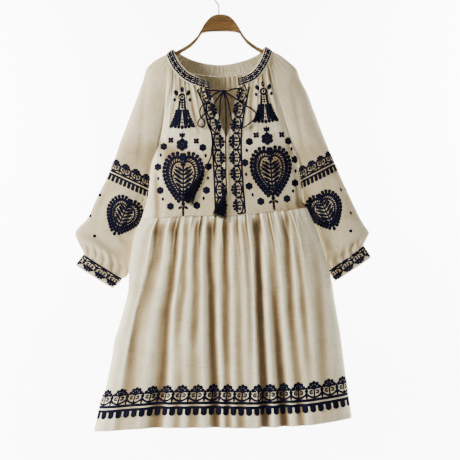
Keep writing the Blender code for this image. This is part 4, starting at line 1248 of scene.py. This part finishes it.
def make_camera():
    """The camera at the photograph's viewing angle and frame."""
    camera = bpy.data.objects.new("camera", bpy.data.cameras.new("camera"))
    bpy.context.scene.collection.objects.link(camera)
    centre_x, centre_z = pixel(PICTURE_PIXELS / 2, PICTURE_PIXELS / 2)
    camera.location = (centre_x * MM, -CAMERA_DISTANCE_M, centre_z * MM)
    camera.rotation_euler = (math.pi / 2, 0, 0)
    camera.data.sensor_width = SENSOR_MM
    wide_m = PICTURE_PIXELS * MM_PER_PIXEL * MM
    camera.data.lens = SENSOR_MM * (CAMERA_DISTANCE_M - MEAN_FRONT_M) / wide_m
    bpy.context.scene.camera = camera


# Lights: name, place, what it looks at, size, power; all in metres and watts
LIGHTS = (
    ("key", (-2.7, -1.3, 0.7), (0, 0, -0.6), 0.8, 260.0),
    ("fill", (2.4, -2.1, 1.1), (0, 0, -0.7), 1.8, 7.0),
    ("top", (0.3, -0.9, 1.9), (0, 0, -0.5), 1.2, 16.0),
    ("wall left", (-3.4, 1.5, 0.9), (-2.2, 4.2, -0.7), 1.6, 1400.0),
    ("wall right", (3.4, 1.5, 0.9), (2.2, 4.2, -0.7), 1.6, 1400.0),
)
# The backdrop lies further back than the camera's distance, so that the dress shows from behind too
FLOOR_Z_M, FLOOR_FRONT_M, WALL_Y_M, WALL_TOP_M = -2.3, -5.0, 4.2, 4.0
STAGE_HALF_M, STAGE_ROUND_M, STAGE_STEPS = 7.0, 0.8, 8
WORLD_COLOUR, WORLD_STRENGTH = (1.0, 0.99, 0.97, 1), 0.2


def make_stage():
    """A pale floor that curves up into a backdrop, and soft lights."""
    profile = [(FLOOR_FRONT_M, FLOOR_Z_M), (WALL_Y_M - STAGE_ROUND_M, FLOOR_Z_M)]
    for k in range(1, STAGE_STEPS + 1):
        turn = math.pi / 2 * k / STAGE_STEPS
        y = WALL_Y_M - STAGE_ROUND_M + STAGE_ROUND_M * math.sin(turn)
        profile.append((y, FLOOR_Z_M + STAGE_ROUND_M * (1 - math.cos(turn))))
    profile.append((WALL_Y_M, WALL_TOP_M))
    points = [(x, y, z) for x in (-STAGE_HALF_M, STAGE_HALF_M) for y, z in profile]
    count = len(profile)
    faces = [(k, count + k, count + k + 1, k + 1) for k in range(count - 1)]
    mesh = bpy.data.meshes.new("backdrop")
    mesh.from_pydata(points, [], faces)
    mesh.shade_smooth()
    paint = Paint("pale backdrop", Roughness=0.95, Specular_IOR_Level=0.0)
    mesh.materials.append(paint.finish(paint.ramp(paint.add("TexNoise", Scale=6.0, Detail=3.0), WALL_TONES)))
    backdrop = bpy.data.objects.new("backdrop", mesh)
    bpy.context.scene.collection.objects.link(backdrop)
    for name, place_m, aim_m, size, power in LIGHTS:
        light = bpy.data.lights.new(name, "AREA")
        light.size = size
        light.energy = power
        lamp = bpy.data.objects.new(name, light)
        lamp.location = place_m
        lamp.rotation_euler = (Vector(aim_m) - Vector(place_m)).to_track_quat("-Z", "Y").to_euler()
        bpy.context.scene.collection.objects.link(lamp)
    world = bpy.data.worlds.new("studio")
    world.use_nodes = True
    background = world.node_tree.nodes["Background"].inputs
    background["Color"].default_value = WORLD_COLOUR
    background["Strength"].default_value = WORLD_STRENGTH
    bpy.context.scene.world = world


# The twisted cord's sides, strands and how deep the grooves between them are, then its pitch and ring step
CORD_SIDES, STRANDS, STRAND_DEPTH = 12, 3, 0.16
CORD_PITCH, CORD_STEP, CORD_PATH_STEPS = 7.0, 0.9, 24
# The knot's middle, its turns with their points and pitch
KNOT, KNOT_TURNS, KNOT_POINTS, KNOT_PITCH = (11, 276.5, -43.5), 2.5, 90, 6.0


def sweep(name, route, twist_pitch, material, replaced):
    """A twisted cord along a route, its section turning once in each twist pitch, for a node."""
    section = strands(SHOWN_CORD / 2)
    direction = np.gradient(route, axis=0)
    direction /= np.linalg.norm(direction, axis=1, keepdims=True)
    run = run_of(route)
    side = np.cross(direction, (0.0, 1.0, 0.0))
    side /= np.maximum(np.linalg.norm(side, axis=1, keepdims=True), 1e-9)
    up = np.cross(side, direction)
    turn = 2 * np.pi * run / twist_pitch
    points, n = [], len(section)
    for base, s, u, angle in zip(route, side, up, turn):
        c, d = math.cos(angle), math.sin(angle)
        for a, b in section:
            points.append(base + s * (a * c - b * d) + u * (a * d + b * c))
    drawn = np.stack([np.repeat(run, n), np.tile(np.arange(n), len(route))], axis=1) * MM
    mesh = mesh_of(name, np.array(points), tube_faces(0, len(route), n), drawn)
    return shown(name, mesh, material, (replaced,))


def strands(radius):
    """A cord's section, with the lobes of its three strands."""
    turn = np.linspace(0, 2 * np.pi, CORD_SIDES, endpoint=False)
    reach = radius * (1 - STRAND_DEPTH / 2 + STRAND_DEPTH / 2 * np.cos(STRANDS * turn))
    return np.stack([reach * np.cos(turn), reach * np.sin(turn)], axis=1)


def make_cords(material):
    """The drawstring's stretches as twisted cords, in the places that the CAD gives them."""
    tassels = {side: make_tassel(side, *facts, material) for side, facts in TASSELS.items()}
    knot = make_knot(material)
    stretches = {
        "tie_left": (TIE_LEFT, "knot", [knot]),
        "tie_right": (TIE_RIGHT, "knot", []),
        "bow_loop_left": (LOOP_LEFT, "object", []),
        "bow_loop_right": (LOOP_RIGHT, "object", []),
        "tail_left": (TAIL_LEFT, "knot", []),
        "tail_right": (TAIL_RIGHT, "knot", []),
    }
    for name, (route, end, going) in stretches.items():
        points = place(route)
        if name.startswith("tail"):
            side = name.split("_")[1]
            going = [tassels[side]]
            foot = place(TASSELS[side][1])[0]
            into = foot - points[-1]
            points = np.vstack([points, points[-1] + into * (TASSEL_CORE / np.linalg.norm(into))])
        points = points - (0, CORD_LIFT, 0)
        length = run_of(smooth(points, np.linspace(0, 1, 400)))[-1]
        line = evenly(points, round(length / CORD_STEP))
        cord = sweep(name + "_cord", line, CORD_PITCH, material, name)


def make_knot(material):
    """The bow's knot: a few turns of the cord over each other."""
    centre = place(KNOT)[0] - (0, CORD_LIFT, 0)
    turn = np.linspace(0, 2 * np.pi * KNOT_TURNS, KNOT_POINTS)
    rise = 2.0 * np.sin(turn * 0.4 + 0.5) * 1.2
    wrap = np.stack([3.8 * np.cos(turn), 3.0 * np.sin(turn), rise], axis=1)
    return sweep("bow_knot_wraps", centre + wrap, KNOT_PITCH, material, "bow_knot")


# A tassel's threads: how many, the turn from one to the next, their radius, sides and steps
THREADS, THREAD_TURN, THREAD_RADIUS, THREAD_SIDES, THREAD_STEPS = 150, 2.39996, 0.42, 4, 8
# Its head: the share of the length it takes, its half width and depth, and the neck's half width below it
HEAD_SHARE, HEAD_HALF, HEAD_FLAT, NECK_HALF, MOST_DEPTH = 0.12, 4.2, 0.75, 3.4, 3.4
# The rings wound round it, and the crown's rings and sides
WOUND_RINGS, WOUND_STEPS, CROWN_RINGS, CROWN_SIDES = 6, 16, 8, 12


def make_tassel(side, tail, foot, spread, material):
    """A wound head and many loose threads that hang from it."""
    end, foot = place(tail)[-1], place(foot)[0]
    length = np.linalg.norm(end - foot)
    up = (end - foot) / length
    across = np.cross((0.0, 1.0, 0.0), up)
    across /= np.linalg.norm(across)
    deep = np.cross(up, across)
    points, faces, drawn = [], [], []

    def around(centre, half_wide, half_deep, angle):
        return centre + across * half_wide * math.cos(angle) + deep * half_deep * math.sin(angle)

    def add_thread(line):
        faces.extend(tube_faces(len(points), len(line), THREAD_SIDES))
        for k, centre in enumerate(line):
            thick = THREAD_RADIUS * (1 if k < len(line) - 1 else 0.6)
            for j in range(THREAD_SIDES):
                points.append(around(centre, thick, thick, 2 * math.pi * j / THREAD_SIDES))
                drawn.append((k * 0.003, j * 0.001))

    for i in range(THREADS):
        radius = math.sqrt((i + 0.5) / THREADS)
        a, b = radius * math.cos(i * THREAD_TURN), radius * math.sin(i * THREAD_TURN)
        sway = math.sin(12.9 * i)
        reach = length * (0.93 + 0.07 * math.sin(7.3 * i + 1))
        line = []
        for k in range(THREAD_STEPS + 1):
            f = k / THREAD_STEPS
            half, flat = HEAD_HALF, HEAD_FLAT
            if f >= HEAD_SHARE:
                below = (f - HEAD_SHARE) / (1 - HEAD_SHARE)
                half = NECK_HALF + (spread / 2 - NECK_HALF) * below**1.25
                flat = 0.7 - 0.42 * below
            aside = a * half + 0.5 * math.sin(5 * f + i) * f + 0.8 * sway * f
            behind = deep * b * min(half * flat, MOST_DEPTH)
            line.append(end - up * (reach * f + 0.5) + across * aside + behind)
        add_thread(line)
    for ring in range(WOUND_RINGS):
        centre = end - up * (7.0 + 0.62 * ring)
        add_thread([around(centre, 4.3, 3.3, t) for t in np.linspace(0, 2 * np.pi, WOUND_STEPS + 1)])
    faces += tube_faces(len(points), CROWN_RINGS + 1, CROWN_SIDES)[:-1]
    for k in range(CROWN_RINGS + 1):
        f = k / CROWN_RINGS
        half = 1.6 + 3.2 * math.sin(math.pi / 2 * f) ** 0.8
        centre = end - up * (0.2 + 7.2 * f)
        for j in range(CROWN_SIDES):
            points.append(around(centre, half, half * 0.75, 2 * math.pi * j / CROWN_SIDES))
            drawn.append((0.0, 0.001 * j))
    mesh = mesh_of("tassel_" + side, np.array(points), faces, np.array(drawn))
    return shown("tassel_" + side + "_threads", mesh, material, ("tassel_" + side,))


BACK_RUFFLE = 1.1


def make_clothes():
    """Every cloth panel. Returns their grids by node name."""
    half, front, back = SLEEVE_HALF_COLUMNS * CELL, FRONT_COLUMNS * CELL, BACK_COLUMNS * CELL
    grids = {
        "bodice_front_left": front_grid("left"),
        "bodice_front_right": front_grid("right"),
        "bodice_back": back_grid(),
        "sleeve_left": sleeve_grid("left"),
        "sleeve_right": sleeve_grid("right"),
        "skirt_front": skirt_grid(False),
        "skirt_back": skirt_grid(True),
        "cuff_left": cuff_grid("left"),
        "cuff_right": cuff_grid("right"),
    }
    bands = {
        "front_right": ((0, RAGLAN_FRONT_RIGHT, front), (RAGLAN_FRONT_RIGHT, SHOULDER_RIGHT, half)),
        "back": (
            (SHOULDER_RIGHT, RAGLAN_BACK_RIGHT, half),
            (RAGLAN_BACK_RIGHT, RAGLAN_BACK_LEFT, back),
            (RAGLAN_BACK_LEFT, SHOULDER_LEFT, half),
        ),
        "front_left": (
            (SHOULDER_LEFT, RAGLAN_FRONT_LEFT, half),
            (RAGLAN_FRONT_LEFT, SLIT_LEFT_STATION, front),
        ),
    }
    for name, runs in bands.items():
        grids["neckband_" + name] = band_grid(runs, BACK_RUFFLE if name == "back" else 0.0)
    fabric = linen()
    for name in grids:
        grids[name] = creased(name, grids[name])
        cloth(name, grids[name], fabric)
    return grids


# The flowers round each front heart: kind, across and up from the heart's middle
AROUND_HEART = (
    ("x", -31, 96), ("x", 33, 93), ("o", -49, 81), ("o", 49, 77), ("o", -64, 30), ("o", 63, 30),
    ("o", -58, -29), ("o", 58, -29), ("o", -32, -69), ("o", 34, -67), (".", -57, 60), (".", 56, 57),
    (".", -63, 1), (".", 62, 1), (".", -51, -51), (".", 51, -49),
)
# Front hearts: side, the bell's head, the heart's middle, the lean in degrees
FRONT_MOTIFS = (("left", (182.4, 97.8), (183.3, 178.8), 0.0), ("right", (263.3, 92.1), (271.2, 173.0), 4.4))
# Hearts: width, height and number of petals
FRONT_HEART = (104, 136, 36)
# Running borders: pitch, flowers' height, lines' heights, their width, and the comb's pitch, share and reach
HEM_BORDER = (42.0, 44.0, (51.0, 62.0), 6.2, (20.5, 0.72, 20.0))
SLEEVE_BORDER = (30.0, 30.0, (0.0, 8.0), 4.0, (10.8, 0.66, 16.5))
# Sleeves: the border's row in net rows below the yoke, the heart's middle, its lean, the dots round it
SLEEVE_MOTIFS = {
    "left": (1.95, (121.5, 216.5), -26.0, ((98, 194.5), (88.2, 215.7), (150, 205), (93, 236))),
    "right": (1.65, (327.0, 211.3), 26.0, ((348.3, 188), (359.2, 209.7), (304, 204), (352, 231))),
}
SLEEVE_HEART = (92, 104, 34)
# The cuffs' and plackets' rows of flowers: pitch, the flowers' height and the line's width
CUFF_PITCH, CUFF_FLOWER, CUFF_LINE = 36.0, 27.0, 4.2
PLACKET_PITCH, PLACKET_FLOWER, PLACKET_LINE = 40.0, 28.5, 3.6
# The plackets' outer lines
PLACKETS = {
    "left": (
        (197.4, 90.5), (203.3, 104.9), (208.4, 125.3), (211.9, 135.5), (213.5, 162), (214.5, 182.4),
        (215.6, 213.5),
    ),
    "right": ((249.2, 87.5), (244.7, 109), (241.6, 131.4), (241.1, 151.8), (242.7, 182.4), (245.2, 213)),
}
# The neckband: its scrolls' size and pitch, half the height of its navy ground and its blocks' length
NECKBAND_FLOWER, NECKBAND_PITCH, GROUND_HALF, GROUND_STEP = 7.6, 17.0, 9.0, 3.0


def finial():
    """The small foot below a heart."""
    shapes = [leaf(side * 3, -1, 11, 7, math.radians(-90 + side * 55), 0.3, 8) for side in (-1, 1)]
    shapes += [leaf(0, 0, 14, 6, -math.pi / 2, 0.1), dot(0, -16, 3.4, 8)]
    return shapes + [leaf(0, -17, 9, 4.5, -math.pi / 2)]


def front_embroidery(bodice, navy):
    """A bell, a heart, its foot and the small flowers round it on each front."""
    motifs = {"x": cross_flower(8.0), "o": rosette(9.2), ".": [leaf(0, -4.2, 8.4, 5.6, math.pi / 2)]}
    for side, head, middle, lean in FRONT_MOTIFS:
        hx, hz = pixel(*head)
        bx, bz = pixel(*middle)
        height = FRONT_HEART[1]
        shapes = moved(bell_spray(), hx, hz, lean) + moved(heart(*FRONT_HEART), bx, bz, lean)
        across, up = math.cos(math.radians(lean)), math.sin(math.radians(lean))
        shapes += moved(finial(), bx + up * height * 0.5, bz - across * height * 0.5, lean)
        for kind, x, y in AROUND_HEART:
            px, pz = bx + x * across - y * up, bz + x * up + y * across
            shapes += moved(motifs[kind], px, pz, lean)
        embroidery("embroidery_heart_" + side, [(bodice, shapes)], navy)


def flower_row(chart, pitch, height, y, turn):
    """A row of the border's flowers along a chart, turned over where turn is 180."""
    step, middles = repeats(chart.length, pitch)
    flower = flower_repeat(step, height)
    return [shape for middle in middles for shape in moved(flower, middle, y, turn)]


def sleeve_embroidery(side, grid, cuff, navy):
    """The border round a sleeve with its heart and dots below, and the cuff's flowers."""
    rows_below, middle, lean, dots = SLEEVE_MOTIFS[side]
    chart = GridChart(grid, (YOKE_ROWS + rows_below) * CELL)
    own = moved(heart(*SLEEVE_HEART), *pixel(*middle), lean)
    own += [dot(*pixel(x, y), 4.0) for x, y in dots]
    work = [(chart, running_border(chart.length, *SLEEVE_BORDER)), (FrontChart([grid]), own)]
    embroidery("embroidery_sleeve_" + side, work, navy)
    chart = GridChart(cuff, 0.0)
    shapes = [line_across(chart.length, -3.4, CUFF_LINE)]
    shapes += flower_row(chart, CUFF_PITCH, CUFF_FLOWER, -5.0, 180)
    embroidery("embroidery_cuff_" + side, [(chart, shapes)], navy)


def placket_embroidery(bodice, navy):
    """A line with flowers towards the slit on each side of it."""
    work = []
    for side, route in PLACKETS.items():
        chart = RouteChart(bodice, pixels(*route))
        y, turn = (1.5, 0) if side == "left" else (-1.5, 180)
        shapes = [line_across(chart.length, 0.0, PLACKET_LINE)]
        work.append((chart, shapes + flower_row(chart, PLACKET_PITCH, PLACKET_FLOWER, y, turn)))
    embroidery("embroidery_placket", work, navy)


def neckband_embroidery(grids, navy, cream):
    """A navy ground round the neckband's front, with cream scrolls and specks on it."""
    ground, specks = [], []
    for name in ("neckband_front_left", "neckband_front_right"):
        grid = grids[name]
        chart = GridChart(grid, (grid.shape[0] - 1) / 2)
        step, middles = repeats(chart.length, GROUND_STEP)
        corners = np.array([(-1, -1), (1, -1), (1, 1), (-1, 1)]) * (step / 2, GROUND_HALF)
        ground.append((chart, [pad(corners + (x, 0)) for x in middles]))
        shapes = []
        step, middles = repeats(chart.length, NECKBAND_PITCH)
        for x in middles:
            shapes += [stroke(arc(x, 0, NECKBAND_FLOWER * 0.7, a, a + 100, 8), 1.0) for a in (40, 220)]
            shapes += [dot(*at, 1.0, 8) for at in ((x, 0), (x - step / 2, 4.6), (x - step / 2, -4.6))]
        specks.append((chart, shapes))
    embroidery("embroidery_neckband", ground, navy)
    embroidery("embroidery_neckband_dots", specks, cream, lift=0.55, spread=0.0)


def make_embroidery(grids):
    """All the sewing, in navy thread with a little cream."""
    navy = thread("navy thread", (0.0014, 0.0015, 0.0055), (0.0055, 0.006, 0.019))
    cream = thread("cream thread", (0.50, 0.42, 0.30), (0.76, 0.69, 0.55))
    bodice = FrontChart([grids["bodice_front_left"], grids["bodice_front_right"]])
    front_embroidery(bodice, navy)
    placket_embroidery(bodice, navy)
    for part in ("front", "back"):
        grid = grids["skirt_" + part]
        chart = GridChart(grid, grid.shape[0] - 1.001)
        border = running_border(chart.length, *HEM_BORDER)
        embroidery("embroidery_hem_" + part, [(chart, border)], navy)
    for side in ("left", "right"):
        sleeve_embroidery(side, grids["sleeve_" + side], grids["cuff_" + side], navy)
    neckband_embroidery(grids, navy, cream)


def main():
    """The whole scene."""
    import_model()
    make_camera()
    cord_thread = thread("cord thread", (0.0015, 0.0015, 0.005), (0.007, 0.006, 0.014), 1500.0)
    make_cords(cord_thread)
    make_stage()
    grids = make_clothes()
    make_embroidery(grids)
    for node, material in (("hanger_body", wood()), ("hanger_hook", wire_paint())):
        for slot in bpy.data.objects[node].material_slots:
            slot.material = material


main()
